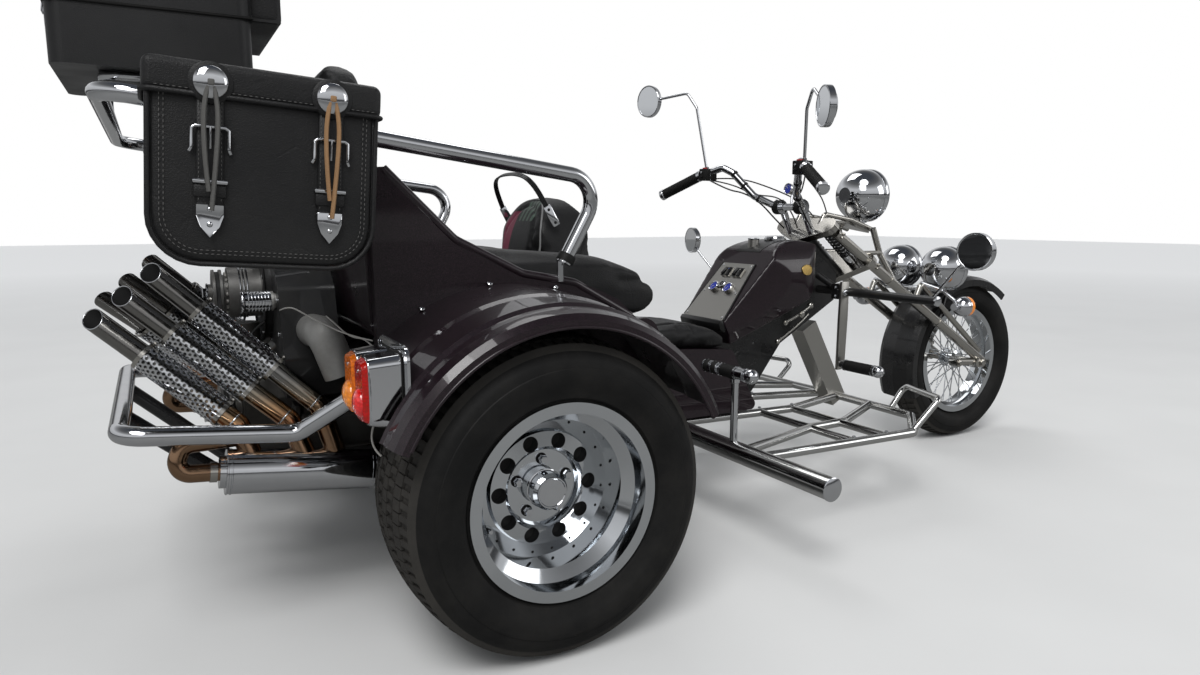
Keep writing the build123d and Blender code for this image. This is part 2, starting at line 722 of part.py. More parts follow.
def top_case():
    z0, z1, z2 = case_z
    tray = case_block(0, z0, z1) - case_block(case_t, z0 + case_t, z1 + 10)
    lid = case_block(0, z1 + gap * 2, z2)
    lid = fillet(lid.faces().sort_by(Axis.Z)[-1].edges(), 16)
    lid -= case_block(case_t, z1 - 10, z2 - case_t - 8)
    lid += box(case_x[1] - 1, case_x[1] + 66, -205, 205, z1 + 12, z2 - 40)
    return tray, lid


tray, lid = top_case()
save("top_case_tray", tray)
save("top_case_lid", lid)

bag_tilt = 4.0
bag_in = rail_path[1][1] + rail_d / 2 - 0.8      # inner face, against the handrail's outer side


def saddlebags():
    body = box(-694, -346, bag_in + 2, 730, 830, 1140)
    body = fillet(body.edges().filter_by(Axis.Y).sort_by(Axis.Z)[:2], 70)
    body += box(-704, -336, bag_in, 738, 1092, 1150)
    return both(Pos(-520, 0, 990) * Rot(0, bag_tilt, 0) * Pos(520, 0, -990) * body)


save("saddlebags", saddlebags())


def bumper():
    half = rod([(bumper_x, 0, bumper_z), (bumper_x, bumper_y, bumper_z), (-450, 405, 451), (-318, 478, 548)], bumper_d, 46)
    return both(half)


bumper_body = bumper()
save("bumper", bumper_body - frame_body)


# rear axle: torsion tube, trailing plates, axle tubes and stub shafts
torsion_x = 300.0
torsion_r = 36.0
torsion_z = rail_z + 18 + torsion_r + gap


def rear_axle():
    body = drum(torsion_x, -400, 400, torsion_z, torsion_r)
    for side in (-1, 1):
        arm = [(torsion_x + 34, torsion_z + 30), (torsion_x + 34, torsion_z - 30), (0, rear_tyre_r - 46),
               (-46, rear_tyre_r - 30), (-46, rear_tyre_r + 30), (0, rear_tyre_r + 46)]
        y0, y1 = sorted((side * 400, side * 412))
        body += side_plate(arm, y0, y1)
        y0, y1 = sorted((side * 96, side * 566))
        body += drum(0, y0, y1, rear_tyre_r, 32)
        y0, y1 = sorted((side * 562, side * (rear_wheel_y - 96 - 1)))
        body += drum(0, y0, y1, rear_tyre_r, drum_r - 4)
        y0, y1 = sorted((side * 566, side * (rear_wheel_y + disc_s - gap)))
        body += drum(0, y0, y1, rear_tyre_r, axle_shaft_r)
    return body


save("rear_axle", rear_axle())


def transaxle():
    body = along_x(-196, -150, 0, 412, 138)
    body += loft([Plane(origin=(-150, 0, 412), z_dir=(1, 0, 0)) * Circle(132),
                  Plane(origin=(-70, 0, 372), z_dir=(1, 0, 0)) * Circle(94)])
    body += along_x(-70, 84, 0, 372, 94) - box(-80, 90, -96, 96, 200, rail_z + 22)
    body += drum(0, -96 + gap, 96 - gap, rear_tyre_r, 66)
    body += loft([Plane(origin=(84, 0, 372), z_dir=(1, 0, 0)) * Circle(90),
                  Plane(origin=(160, 0, 372), z_dir=(1, 0, 0)) * Circle(60)])
    body += along_x(160, torsion_x - torsion_r - gap, 0, 372, 60)
    return body - box(-80, 90, -140, 140, 200, rail_z + 18 + gap)


save("transaxle", transaxle())

# air-cooled flat four: crankcase, two finned banks, fan shroud, alternator and belt
crank_z = 420.0
case_front_x = -196.0 - gap
case_rear_x = -530.0
case_face = [(-62, 300), (-112, 352), (-112, 470), (-74, 540), (74, 540), (112, 470), (112, 352), (62, 300)]


def engine_case():
    face = Plane(origin=(case_front_x, 0, 0), x_dir=(0, 1, 0), z_dir=(1, 0, 0)) * make_face(Polyline(*case_face, close=True))
    body = extrude(face, amount=case_rear_x - case_front_x)
    body += along_x(case_rear_x - 14, case_rear_x, 0, crank_z, 60)
    body += post(-508, 0, 540, 650, 35)
    body += box(-424, -300, -70, 70, 538, 560)
    return body


save("engine_case", engine_case())

bore_xs = (-262.0, -374.0)
fin_count = 8
barrel_r = 46.0
fin_r = 54.0
head_y = 206.0


def cylinder_bank():
    bank = Part()
    y0 = 112 + gap
    pitch = (head_y - y0) / fin_count
    for x in bore_xs:
        bank += drum(x, y0, head_y + 4, crank_z, barrel_r)
        for i in range(fin_count):
            bank += drum(x, y0 + i * pitch, y0 + i * pitch + 4, crank_z, fin_r)
    x0 = bore_xs[1] - 60
    x1 = bore_xs[0] + 60
    bank += box(x0, x1, head_y, 268, crank_z - 58, crank_z + 58)
    for i in range(7):
        x = x0 + 8 + i * 34
        bank -= box(x, x + 10, head_y + 14, 275, crank_z + 34, crank_z + 60)
    cover = box(x0 + 12, x1 - 12, 268, 300, crank_z - 48, crank_z + 40)
    bank += fillet(cover.edges().filter_by(Axis.X).sort_by(Axis.Y)[-2:], 14)
    return bank


bank_body = both(cylinder_bank())
save("cylinder_banks", bank_body)

shroud_x = (-452.0, -326.0)
fan_z = 726.0
shroud_face = [(-268, 500), (-268, 590), (-220, 748), (-128, 826), (128, 826), (220, 748), (268, 590), (268, 500),
               (150, 500), (150, 562), (-150, 562), (-150, 500)]
alt_r = 62.0
pulley_r = 57.0


def fan_shroud():
    face = Plane(origin=(shroud_x[0], 0, 0), x_dir=(0, 1, 0), z_dir=(1, 0, 0)) * make_face(
        Polyline(*shroud_face, close=True))
    body = extrude(face, amount=shroud_x[1] - shroud_x[0])
    body = fillet(body.edges().filter_by(Axis.X).sort_by(Axis.Z)[-6:], 24)
    body += along_x(shroud_x[0] - 16, shroud_x[0], 0, fan_z, 120)
    return body


save("fan_shroud", fan_shroud())


def alternator():
    x = shroud_x[0] - 16 - gap
    body = along_x(x - 74, x, 0, fan_z, alt_r) + along_x(x - 84, x - 70, 0, fan_z, 44)
    body += along_x(-590, x - 80, 0, fan_z, 10)
    body += along_x(-560, -554, 0, fan_z, pulley_r) + along_x(-576, -570, 0, fan_z, pulley_r)
    body += along_x(-570, -560, 0, fan_z, pulley_r - 12) + along_x(-586, -576, 0, fan_z, 22)
    body -= post(-508, 0, 500, 650 + gap, 37)
    return body


save("alternator", alternator())
crank_pulley_r = 84.0


def crank_pulley():
    z = crank_z
    body = along_x(-590, case_rear_x - 14 - gap, 0, z, 16)
    body += along_x(-560, -554, 0, z, crank_pulley_r) + along_x(-576, -570, 0, z, crank_pulley_r)
    body += along_x(-570, -560, 0, z, crank_pulley_r - 12) + along_x(-590, -576, 0, z, 30)
    return body


def fan_belt():
    ring = make_hull([*(Pos(0, fan_z) * Circle(pulley_r - 5)).edges(),
                      *(Pos(0, crank_z) * Circle(crank_pulley_r - 5)).edges()])
    hole = make_hull([*(Pos(0, fan_z) * Circle(pulley_r - 12 + gap)).edges(),
                      *(Pos(0, crank_z) * Circle(crank_pulley_r - 12 + gap)).edges()])
    plane = Plane(origin=(-570 + gap, 0, 0), x_dir=(0, 1, 0), z_dir=(1, 0, 0))
    return extrude(plane * (ring - hole), amount=10 - 2 * gap)


save("belt_drive", fan_belt() + crank_pulley())


def intake():
    # ribbed polished breather on the shroud, and a bent air duct down to each bank
    body = along_x(-520, shroud_x[0] - gap, -168, 716, 18)
    for i in range(6):
        body += along_x(-518 + i * 11, -512 + i * 11, -168, 716, 23)
    duct = rod([(-384, 240, 650), (-376, 345, 655), (-345, 354, 560)], 76, 42)
    body += both(duct)
    return body - fan_shroud()


save("intake", intake())

# six upswept pipes in two rows of three, over a muffler on each side
stack_y = (235.0, 332.0)
stack_d = 46.0
# mouth X, Z, then foot X, Z
stacks = [(-816, 702, -562, 468), (-760, 747, -457, 464), (-704, 794, -392, 489)]
muffler_y = 352.0
muffler_r = 48.0
muffler_ends = ((-595.0, 372.0), (-283.0, 335.0))


def stack_line(row):
    mx, mz, fx, fz = row
    return Vector(mx, stack_y[0], mz), Vector(fx, stack_y[1], fz)


def muffler():
    a = Vector(muffler_ends[0][0], muffler_y, muffler_ends[0][1])
    b = Vector(muffler_ends[1][0], muffler_y, muffler_ends[1][1])
    u = (b - a).normalized()
    body = rod([a, b], 2 * muffler_r)
    body += rod([a - u * 12, a + u * 4], 2 * muffler_r - 26)
    body += rod([b - u * 4, b + u * 12], 2 * muffler_r - 26)
    return both(body)


muffler_body = muffler()
save("mufflers", muffler_body)


def exhaust_pipes():
    # each stack is cut off slantwise, so that its mouth looks outwards
    half = Part()
    for row in stacks:
        mouth, foot = stack_line(row)
        drop = Vector(foot.X + 26, muffler_y, 386)
        u = (mouth - foot).normalized()
        facing = (u * 0.77 + Vector(0, 0.64, 0)).normalized()
        half += rod([mouth + u * (0.55 * stack_d), foot, drop], stack_d, 30)
        half -= rod([mouth + u * (0.6 * stack_d), mouth + (foot - mouth) * 0.5], stack_d - 5)
        half -= Plane(origin=mouth, z_dir=facing) * Pos(0, 0, 40) * Cylinder(0.8 * stack_d, 80)
    half += rod([(-600, muffler_y, 373), (-696, 350, 380), (-672, 340, 438), (-560, 336, 440)], 38, 27)
    half += rod([(-300, muffler_y, 340), (-240, muffler_y, 332), (-262, 262, 352)], 40, 40)
    return both(half) - muffler_body - bank_body


pipes_body = exhaust_pipes()
save("exhaust_pipes", pipes_body)


def heat_shields():
    half = Part()
    for row in stacks:
        mouth, foot = stack_line(row)
        u = (foot - mouth).normalized()
        half += pipe([mouth + u * 120, mouth + u * 322], 62, 3)
        for d in (124, 308):
            half += pipe([mouth + u * d, mouth + u * (d + 10)], 58, (58 - stack_d) / 2 - gap)
    return both(half)


save("heat_shields", heat_shields())


def tail_lamps():
    # plate on the cut end of the fender, two tapered shells, each with a flat lens that bulges low down
    def slab(x, y, z, width, height, r):
        return Plane(origin=(x, y, z), x_dir=(0, 1, 0), z_dir=(-1, 0, 0)) * RectangleRounded(width, height, r)

    side = extrude(slab(lamp_x - gap, lamp_out - 104, lamp_z, 208, 176, 26), amount=6 - gap)
    for y in (lamp_out - 160, lamp_out - 72):
        side += loft([slab(lamp_x - 5, y, lamp_z, 84, 146, 20), slab(lamp_x - 66, y, lamp_z + 4, 76, 126, 18)])
        side += loft([slab(lamp_x - 66, y, lamp_z + 4, 70, 120, 16), slab(lamp_x - 78, y, lamp_z + 4, 58, 108, 14)])
        side += Pos(lamp_x - 74, y, lamp_z - 18) * Rot(0, -90, 0) * loft([Circle(26), Pos(0, 0, 8) * Circle(20),
                                                                         Pos(0, 0, 12) * Circle(10)])
    return both(side)


save("tail_lamps", tail_lamps() - bumper_body)
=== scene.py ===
import math
import random

import bpy
from mathutils import Matrix, Vector


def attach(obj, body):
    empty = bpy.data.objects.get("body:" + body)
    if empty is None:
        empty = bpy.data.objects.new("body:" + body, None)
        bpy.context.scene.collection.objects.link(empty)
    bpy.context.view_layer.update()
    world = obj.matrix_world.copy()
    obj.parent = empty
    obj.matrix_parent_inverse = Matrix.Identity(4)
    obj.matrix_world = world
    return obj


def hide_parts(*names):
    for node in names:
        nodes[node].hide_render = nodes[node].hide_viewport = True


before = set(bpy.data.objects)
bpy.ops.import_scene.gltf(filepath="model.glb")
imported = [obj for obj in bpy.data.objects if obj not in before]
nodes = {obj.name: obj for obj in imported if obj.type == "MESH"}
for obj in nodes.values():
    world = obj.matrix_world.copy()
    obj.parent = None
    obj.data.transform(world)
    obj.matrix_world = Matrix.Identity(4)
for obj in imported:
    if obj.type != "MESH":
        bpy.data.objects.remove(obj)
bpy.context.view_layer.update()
random.seed(11)
midX = 844.5                    # rear axle to the row frame's origin, mm
print("frame loaded")


def spot(x, y, z):
    # millimetres from the rear axle, the middle plane and the ground, to the row frame
    return Vector(((x - midX) / 1000, y / 1000, z / 1000))


# camera where the photograph was taken from
cameraAt = {"place": (-1.5425, -2.185, 0.910), "yaw": 60.88, "pitch": 8.52, "lens": 24.0}
yaw, pitch = math.radians(cameraAt["yaw"]), math.radians(cameraAt["pitch"])
bpy.ops.object.camera_add(location=cameraAt["place"])
camera = bpy.context.object
camera.name = "camera"
camera.data.lens = cameraAt["lens"]
camera.data.sensor_width = 36
camera.data.clip_end = 100
aim = Vector((math.cos(yaw) * math.cos(pitch), math.sin(yaw) * math.cos(pitch), -math.sin(pitch)))
camera.rotation_euler = aim.to_track_quat("-Z", "Y").to_euler()
bpy.context.scene.camera = camera


# shader maths: a wrapped socket that can stand in a sum
class Wire:
    def __init__(self, paint, socket):
        self.paint = paint
        self.socket = socket

    def sum(self, operation, other=0.0, flipped=False):
        pair = {0: other, 1: self} if flipped else {0: self, 1: other}
        return self.paint.node("ShaderNodeMath", {"operation": operation}, pair)

    def __add__(self, other):
        return self.sum("ADD", other)

    def __sub__(self, other):
        return self.sum("SUBTRACT", other)

    def __rsub__(self, other):
        return self.sum("SUBTRACT", other, True)

    def __mul__(self, other):
        return self.sum("MULTIPLY", other)

    def __pow__(self, other):
        return self.sum("POWER", other)

    def __gt__(self, other):
        return self.sum("GREATER_THAN", other)

    def __lt__(self, other):
        return self.sum("LESS_THAN", other)

    def __abs__(self):
        return self.sum("ABSOLUTE")


class Paint:
    def __init__(self, name, colour, metallic=0.0, roughness=0.5, coat=0.0, coatRough=0.03, specular=0.5):
        self.material = bpy.data.materials.new(name)
        self.material.use_nodes = True
        self.tree = self.material.node_tree
        self.shader = self.tree.nodes["Principled BSDF"]
        plain = {"Base Color": (*colour, 1), "Metallic": metallic, "Roughness": roughness, "Coat Weight": coat,
                 "Coat Roughness": coatRough, "Specular IOR Level": specular}
        for key, value in plain.items():
            self.shader.inputs[key].default_value = value
        self.place = self.node("ShaderNodeTexCoord", out="Object")

    def node(self, kind, settings=None, sockets=None, out=0):
        made = self.tree.nodes.new(kind)
        for key, value in (settings or {}).items():
            if key == "stops":
                ramp = made.color_ramp
                while len(ramp.elements) < len(value):
                    ramp.elements.new(0.5)
                for stop, (at, colour) in zip(ramp.elements, value):
                    stop.position = at
                    stop.color = (*colour, 1)
            else:
                setattr(made, key, value)
        for key, value in (sockets or {}).items():
            if isinstance(value, Wire):
                self.tree.links.new(value.socket, made.inputs[key])
            else:
                made.inputs[key].default_value = value
        return Wire(self, made.outputs[out])

    def feed(self, key, value):
        self.tree.links.new(value.socket, self.shader.inputs[key])

    def axes(self, vector=None):
        split = self.node("ShaderNodeSeparateXYZ", sockets={0: vector or self.place})
        return [Wire(self, split.socket.node.outputs[i]) for i in range(3)]

    def noise(self, scale, detail=3.0, rough=0.5):
        return self.node("ShaderNodeTexNoise", sockets={"Vector": self.place, "Scale": scale, "Detail": detail,
                                                        "Roughness": rough})

    def cells(self, scale, feature="F1", out="Distance"):
        return self.node("ShaderNodeTexVoronoi", {"feature": feature}, {"Vector": self.place, "Scale": scale}, out)

    def spread(self, value, low, high, to0=0.0, to1=1.0):
        return self.node("ShaderNodeMapRange", {"clamp": True}, {0: value, 1: low, 2: high, 3: to0, 4: to1})

    def ramp(self, value, *stops):
        return self.node("ShaderNodeValToRGB", {"stops": stops}, {0: value})

    def blend(self, factor, one, two):
        one, two = [c if isinstance(c, Wire) else (*c, 1) for c in (one, two)]
        return self.node("ShaderNodeMix", {"data_type": "RGBA"}, {0: factor, 6: one, 7: two}, 2)

    def bump(self, height, strength, distance, under=None):
        sockets = {"Height": height, "Strength": strength, "Distance": distance}
        if under:
            sockets["Normal"] = under
        return self.node("ShaderNodeBump", sockets=sockets)


def chromePaint(name, colour, rough, smears=26.0):
    # polished plating with thin haze, wiping marks and a few pits
    p = Paint(name, colour, metallic=1.0)
    haze = p.noise(smears, 5, 0.6)
    pits = p.spread(p.cells(900), 0.05, 0.16, 1, 0) * p.spread(p.noise(60), 0.56, 0.7)
    p.feed("Roughness", p.spread(haze, 0.35, 0.75, rough, rough + 0.09) + pits * 0.25)
    p.feed("Base Color", p.blend(p.spread(haze, 0.3, 0.8) * 0.5, colour, [c * 0.86 for c in colour]))
    p.feed("Normal", p.bump(haze * 0.4 - pits * 0.2, 0.06, 0.002))
    return p.material


def lacquerPaint():
    # very dark purple-brown metallic under clear coat
    p = Paint("bodyLacquer", (0.008, 0.005, 0.0065), metallic=0.1, roughness=0.36, coat=0.62, coatRough=0.03,
              specular=0.16)
    flakes = p.cells(1500.0, out="Color")
    glint = p.spread(p.axes(flakes)[0], 0.55, 1.0)
    cloud = p.noise(7, 4)
    base = p.blend(glint * 0.6, (0.0055, 0.0032, 0.0045), (0.05, 0.026, 0.038))
    dust = p.spread(p.noise(95, 6, 0.7), 0.52, 0.86)
    p.feed("Base Color", p.blend(dust * 0.025, base, (0.2, 0.18, 0.16)))
    p.feed("Roughness", p.spread(cloud, 0.3, 0.75, 0.26, 0.42) + dust * 0.12)
    p.feed("Normal", p.bump(p.noise(240, 2), 0.05, 0.0008))
    return p.material


def glossBlack(name, colour=(0.007, 0.007, 0.0075), rough=0.22, chips=0.35):
    p = Paint(name, colour, roughness=rough, coat=0.25, specular=0.35)
    worn = p.spread(p.noise(48, 7, 0.68), 0.68, 0.76) * chips
    dust = p.spread(p.noise(12, 6, 0.6), 0.4, 0.8)
    shade = p.blend(dust * 0.12, colour, (0.06, 0.056, 0.05))
    p.feed("Base Color", p.blend(worn, shade, (0.09, 0.087, 0.083)))
    p.feed("Roughness", p.spread(dust, 0, 1, rough, rough + 0.25) + worn * 0.2)
    p.feed("Normal", p.bump(p.noise(320, 3) - worn * 0.4, 0.08, 0.001))
    return p.material


def leatherPaint(name="blackLeather", colour=(0.0065, 0.0065, 0.007), grain=330.0, rough=0.44, worn=0.13):
    # pebbled grain, softer creases and rubbed paler crowns
    p = Paint(name, colour, roughness=rough, specular=0.28)
    warp = p.noise(18, 3)
    pebble = p.spread(p.cells(grain), 0.0, 0.62)
    pores = p.spread(p.noise(grain * 2.6, 2), 0.35, 0.65)
    crease = p.spread(p.cells(15.0, "DISTANCE_TO_EDGE"), 0.0, 0.05, 1, 0) * p.spread(warp, 0.48, 0.72)
    rub = p.spread(p.noise(6.5, 5, 0.62), 0.42, 0.82)
    tone = p.blend(rub * worn, colour, (0.06, 0.058, 0.055))
    p.feed("Base Color", p.blend(pebble * 0.22, tone, [c * 0.45 for c in colour]))
    p.feed("Roughness", p.spread(rub, 0, 1, rough, rough - 0.14) + pebble * 0.12)
    fine = p.bump(pebble * -0.8 + pores * 0.18, 0.42, 0.0012)
    p.feed("Normal", p.bump(crease * -1.0 + warp * 0.5, 0.16, 0.003, fine))
    return p.material


def backrestPaint():
    # black covering, its rear face with a plain maroon field and a few grey-green bars
    colour = (0.0065, 0.0065, 0.007)
    p = Paint("backrestCovering", colour, roughness=0.46, specular=0.28)
    x, y, z = p.axes()
    rear = p.spread(x, spot(294, 0, 0).x, spot(302, 0, 0).x, 1, 0)
    field = p.spread(abs(y - 0.082), 0.042, 0.044, 1, 0) * p.spread(z, 0.928, 0.930, 1, 0)
    bars = p.spread(abs((y * 40).sum("FRACT") - 0.5), 0.22, 0.26, 1, 0) * p.spread(abs(y + 0.025), 0.05, 0.051, 1, 0)
    pebble = p.spread(p.cells(330.0), 0.0, 0.62)
    shade = p.blend(pebble * 0.22, colour, [c * 0.45 for c in colour])
    shade = p.blend(field * rear, shade, (0.15, 0.02, 0.045))
    p.feed("Base Color", p.blend(bars * p.spread(z, 0.9, 0.902) * rear, shade, (0.06, 0.09, 0.07)))
    p.feed("Roughness", pebble * 0.12 + 0.4)
    p.feed("Normal", p.bump(pebble * -0.8 + p.noise(26, 3), 0.42, 0.0012))
    return p.material


def rubberPaint(name, colour=(0.0062, 0.0062, 0.0062), rough=0.72, dusty=0.4, grain=260.0):
    p = Paint(name, colour, roughness=rough, specular=0.16)
    dust = p.spread(p.noise(9, 7, 0.66), 0.4, 0.78) * dusty
    speck = p.spread(p.noise(420, 3, 0.7), 0.5, 0.72)
    p.feed("Base Color", p.blend(dust * 0.4 + speck * 0.05, colour, (0.07, 0.064, 0.056)))
    p.feed("Roughness", p.spread(speck, 0, 1, rough - 0.07, rough + 0.1))
    p.feed("Normal", p.bump(p.noise(grain, 4) + speck * 0.3, 0.18, 0.0012))
    return p.material


def steelPaint(name, colour=(0.5, 0.485, 0.455), rough=0.24, grain=40.0):
    # brushed stainless tube with a warm cast
    p = Paint(name, colour, metallic=1.0)
    brush = p.noise(grain, 8, 0.72)
    film = p.noise(2.2, 3, 0.5)
    p.feed("Roughness", p.spread(brush, 0.3, 0.75, rough - 0.01, rough + 0.02))
    p.feed("Base Color", p.blend(p.spread(film, 0.35, 0.75) * 0.18, colour, [c * 0.72 for c in colour]))
    p.feed("Normal", p.bump(brush, 0.003, 0.0006))
    return p.material


def alloyPaint(name, colour=(0.20, 0.197, 0.19), oil=0.65):
    # sand-cast alloy, stained by oil and dust
    p = Paint(name, colour, metallic=0.75, roughness=0.5)
    cast = p.noise(520, 3, 0.65)
    stain = p.spread(p.noise(8.5, 7, 0.64), 0.38, 0.72)
    p.feed("Base Color", p.blend(stain * oil, colour, (0.035, 0.03, 0.025)))
    p.feed("Roughness", p.spread(stain, 0, 1, 0.4, 0.72))
    p.feed("Normal", p.bump(cast + stain * 0.3, 0.24, 0.0012))
    return p.material


def heatPaint(name):
    # header tube: straw and copper where it runs hot near the engine, pale steel at the mouths
    p = Paint(name, (0.5, 0.46, 0.4), metallic=1.0)
    x, y, z = p.axes()
    hot = p.spread(z + p.noise(9, 4) * 0.07, 0.47, 0.60, 1, 0)
    shade = p.ramp(hot, (0.0, (0.22, 0.215, 0.205)), (0.3, (0.29, 0.25, 0.195)), (0.6, (0.42, 0.26, 0.14)),
                   (0.82, (0.34, 0.17, 0.085)), (1.0, (0.29, 0.18, 0.11)))
    soot = p.spread(p.noise(34, 6, 0.65), 0.45, 0.8)
    p.feed("Base Color", p.blend(soot * 0.22, shade, (0.07, 0.05, 0.04)))
    p.feed("Roughness", p.spread(p.noise(60, 4), 0.3, 0.7, 0.09, 0.2) + soot * 0.1)
    p.feed("Normal", p.bump(p.noise(180, 3), 0.05, 0.001))
    return p.material


def plasticPaint(name, colour=(0.008, 0.008, 0.0085), rough=0.46, grain=620.0, depth=0.3):
    # moulded black plastic with a fine pebble and chalky haze
    p = Paint(name, colour, roughness=rough, specular=0.3)
    haze = p.spread(p.noise(4.5, 6, 0.6), 0.4, 0.8)
    pebble = p.spread(p.cells(grain), 0.0, 0.6)
    p.feed("Base Color", p.blend(haze * 0.1, colour, (0.07, 0.07, 0.07)))
    p.feed("Roughness", p.spread(haze, 0, 1, rough - 0.08, rough + 0.1))
    p.feed("Normal", p.bump(pebble * -1.0, depth, 0.0006))
    return p.material


def lensPaint(name, colour, glow):
    # clear moulded lens, its colour deepened by small cells
    p = Paint(name, colour, roughness=0.08, coat=1.0, coatRough=0.02)
    cells = p.spread(p.cells(150.0), 0.0, 0.7)
    p.feed("Base Color", p.blend(cells * 0.65, [min(1, c * 1.35) for c in colour], [c * 0.4 for c in colour]))
    p.feed("Normal", p.bump(cells, 0.35, 0.002))
    p.shader.inputs["Emission Color"].default_value = (*colour, 1)
    p.shader.inputs["Emission Strength"].default_value = glow
    return p.material


def mirrorPaint():
    p = Paint("mirrorGlass", (0.78, 0.80, 0.82), metallic=1.0, roughness=0.02)
    film = p.spread(p.noise(22, 5), 0.4, 0.8)
    p.feed("Roughness", film * 0.05 + 0.012)
    return p.material


def wheelPaint():
    # plated rim; behind its holes the inner surfaces are painted near black and matte: the drum's dark metal and
    # painted shade
    p = Paint("wheelChrome", (0.62, 0.64, 0.66), metallic=1.0)
    x, y, z = p.axes()
    # inner surfaces behind the holes: drum colour and painted shade
    behind = (abs(y) < 0.6618) * (abs(y) > 0.3) * ((((x + 0.8445) ** 2.0) + ((z - 0.338) ** 2.0)) < 0.0172)
    haze = p.noise(13, 5, 0.6)
    rust = p.spread(p.noise(70, 6, 0.7), 0.4, 0.7)
    p.feed("Roughness", p.spread(haze, 0.35, 0.75, 0.045, 0.12) + behind * 0.5)
    p.feed("Metallic", 1.0 - behind * 0.7)
    tone = p.blend(p.spread(haze, 0.3, 0.8) * 0.4, (0.62, 0.64, 0.66), (0.5, 0.52, 0.54))
    p.feed("Base Color", p.blend(behind, tone, (0.012, 0.011, 0.010)))
    p.feed("Normal", p.bump(haze * 0.4 + rust * behind, 0.06, 0.002))
    return p.material


def tailLampPaint():
    # chrome shells; behind the joint the inner lens is amber and the outer one red
    p = Paint("tailLamp", (0.62, 0.63, 0.65), metallic=1.0, roughness=0.06)
    x, y, z = p.axes()
    lens = x < -1.2149
    cells = p.spread(p.cells(190.0), 0.0, 0.7)
    colour = p.blend(abs(y) > 0.656, (0.9, 0.2, 0.01), (0.45, 0.004, 0.006))
    p.feed("Base Color", p.blend(lens, (0.62, 0.63, 0.65), p.blend(cells * 0.5, colour, (0.12, 0.01, 0.0))))
    p.feed("Metallic", 1.0 - lens)
    p.feed("Roughness", p.spread(p.noise(60, 4), 0.3, 0.8, 0.04, 0.14))
    p.feed("Normal", p.bump(cells * lens, 0.3, 0.002))
    return p.material


def beltPaint():
    # pressed pulleys in worn steel, black belt in their groove
    p = Paint("beltAndPulley", (0.2, 0.2, 0.2), metallic=1.0, roughness=0.4)
    x, y, z = p.axes()
    belt = (x > -1.4143) * (x < -1.4048)
    grime = p.spread(p.noise(34, 6, 0.7), 0.4, 0.7)
    p.feed("Base Color", p.blend(belt, p.blend(grime, (0.26, 0.26, 0.255), (0.04, 0.035, 0.03)),
                                 (0.014, 0.014, 0.014)))
    p.feed("Metallic", 1.0 - belt)
    p.feed("Roughness", grime * 0.3 + belt * 0.3 + 0.28)
    p.feed("Normal", p.bump(p.noise(300, 4) + grime * 0.4, 0.15, 0.001))
    return p.material


chrome = chromePaint("polishedChrome", (0.62, 0.63, 0.65), 0.04)
wheelChrome = wheelPaint()
tailLamp = tailLampPaint()
beltSteel = beltPaint()
tubeChrome = chromePaint("tubeChrome", (0.56, 0.56, 0.55), 0.09, smears=40.0)
stainless = steelPaint("stainlessTube", (0.44, 0.425, 0.395), 0.2, 120)
silverLeg = steelPaint("silverPaint", (0.40, 0.39, 0.365), 0.34, 160)
panelSteel = steelPaint("panelSteel", (0.42, 0.41, 0.385), 0.34, 190)
lacquer = lacquerPaint()
frameBlack = glossBlack("frameBlack")
satinBlack = glossBlack("satinBlack", (0.008, 0.008, 0.0085), 0.4, 0.2)
leather = leatherPaint()
bagLeather = leatherPaint("bagLeather", (0.0075, 0.0075, 0.008), 420.0, 0.40, 0.2)
caseBlack = plasticPaint("caseBlack")
tyreRubber = rubberPaint("tyreRubber", rough=0.66, dusty=0.35)
treadRubber = rubberPaint("treadRubber", (0.026, 0.0245, 0.0225), 0.86, 0.9, 150.0)
softRubber = rubberPaint("softRubber", rough=0.6, dusty=0.2)
castAlloy = alloyPaint("castAlloy")
dirtyAlloy = alloyPaint("dirtyAlloy", (0.07, 0.068, 0.064), 0.85)
ductAlloy = alloyPaint("ductAlloy", (0.40, 0.395, 0.38), 0.25)
hotSteel = heatPaint("hotSteel")
redLens = lensPaint("redLens", (0.62, 0.012, 0.012), 0.06)
amberLens = lensPaint("amberLens", (0.95, 0.24, 0.015), 0.08)
mirror = mirrorPaint()
print("materials mixed")

finishes = [
    (frameBlack, "frame rear_axle front_fender"), (satinBlack, "highway_bar fan_shroud fork_springs"),
    (silverLeg, "front_leg"), (panelSteel, "tank_fittings"), (stainless, "fork"), (tubeChrome, "footboards"),
    (chrome, "pillion_pegs low_mirrors handrail bumper mufflers heat_shields"),
    (chrome, "handlebar bar_mirrors headlight front_lamps"),
    (wheelChrome, "rim_rear_right rim_rear_left rim_front"), (lacquer, "fuel_tank seat_tub seat_body rear_fenders"),
    (leather, "driver_seat driver_backrest bench_cushion bench_backrest"), (bagLeather, "saddlebags"),
    (caseBlack, "top_case_tray top_case_lid"), (tyreRubber, "tyre_rear_right tyre_rear_left tyre_front"),
    (castAlloy, "transaxle alternator"), (dirtyAlloy, "engine_case cylinder_banks"), (ductAlloy, "intake"),
    (beltSteel, "belt_drive"), (hotSteel, "exhaust_pipes"), (tailLamp, "tail_lamps"),
]
for material, name in [(material, name) for material, names in finishes for name in names.split()]:
    node = nodes[name]
    node.data.materials.clear()
    node.data.materials.append(material)
print("frame dressed")


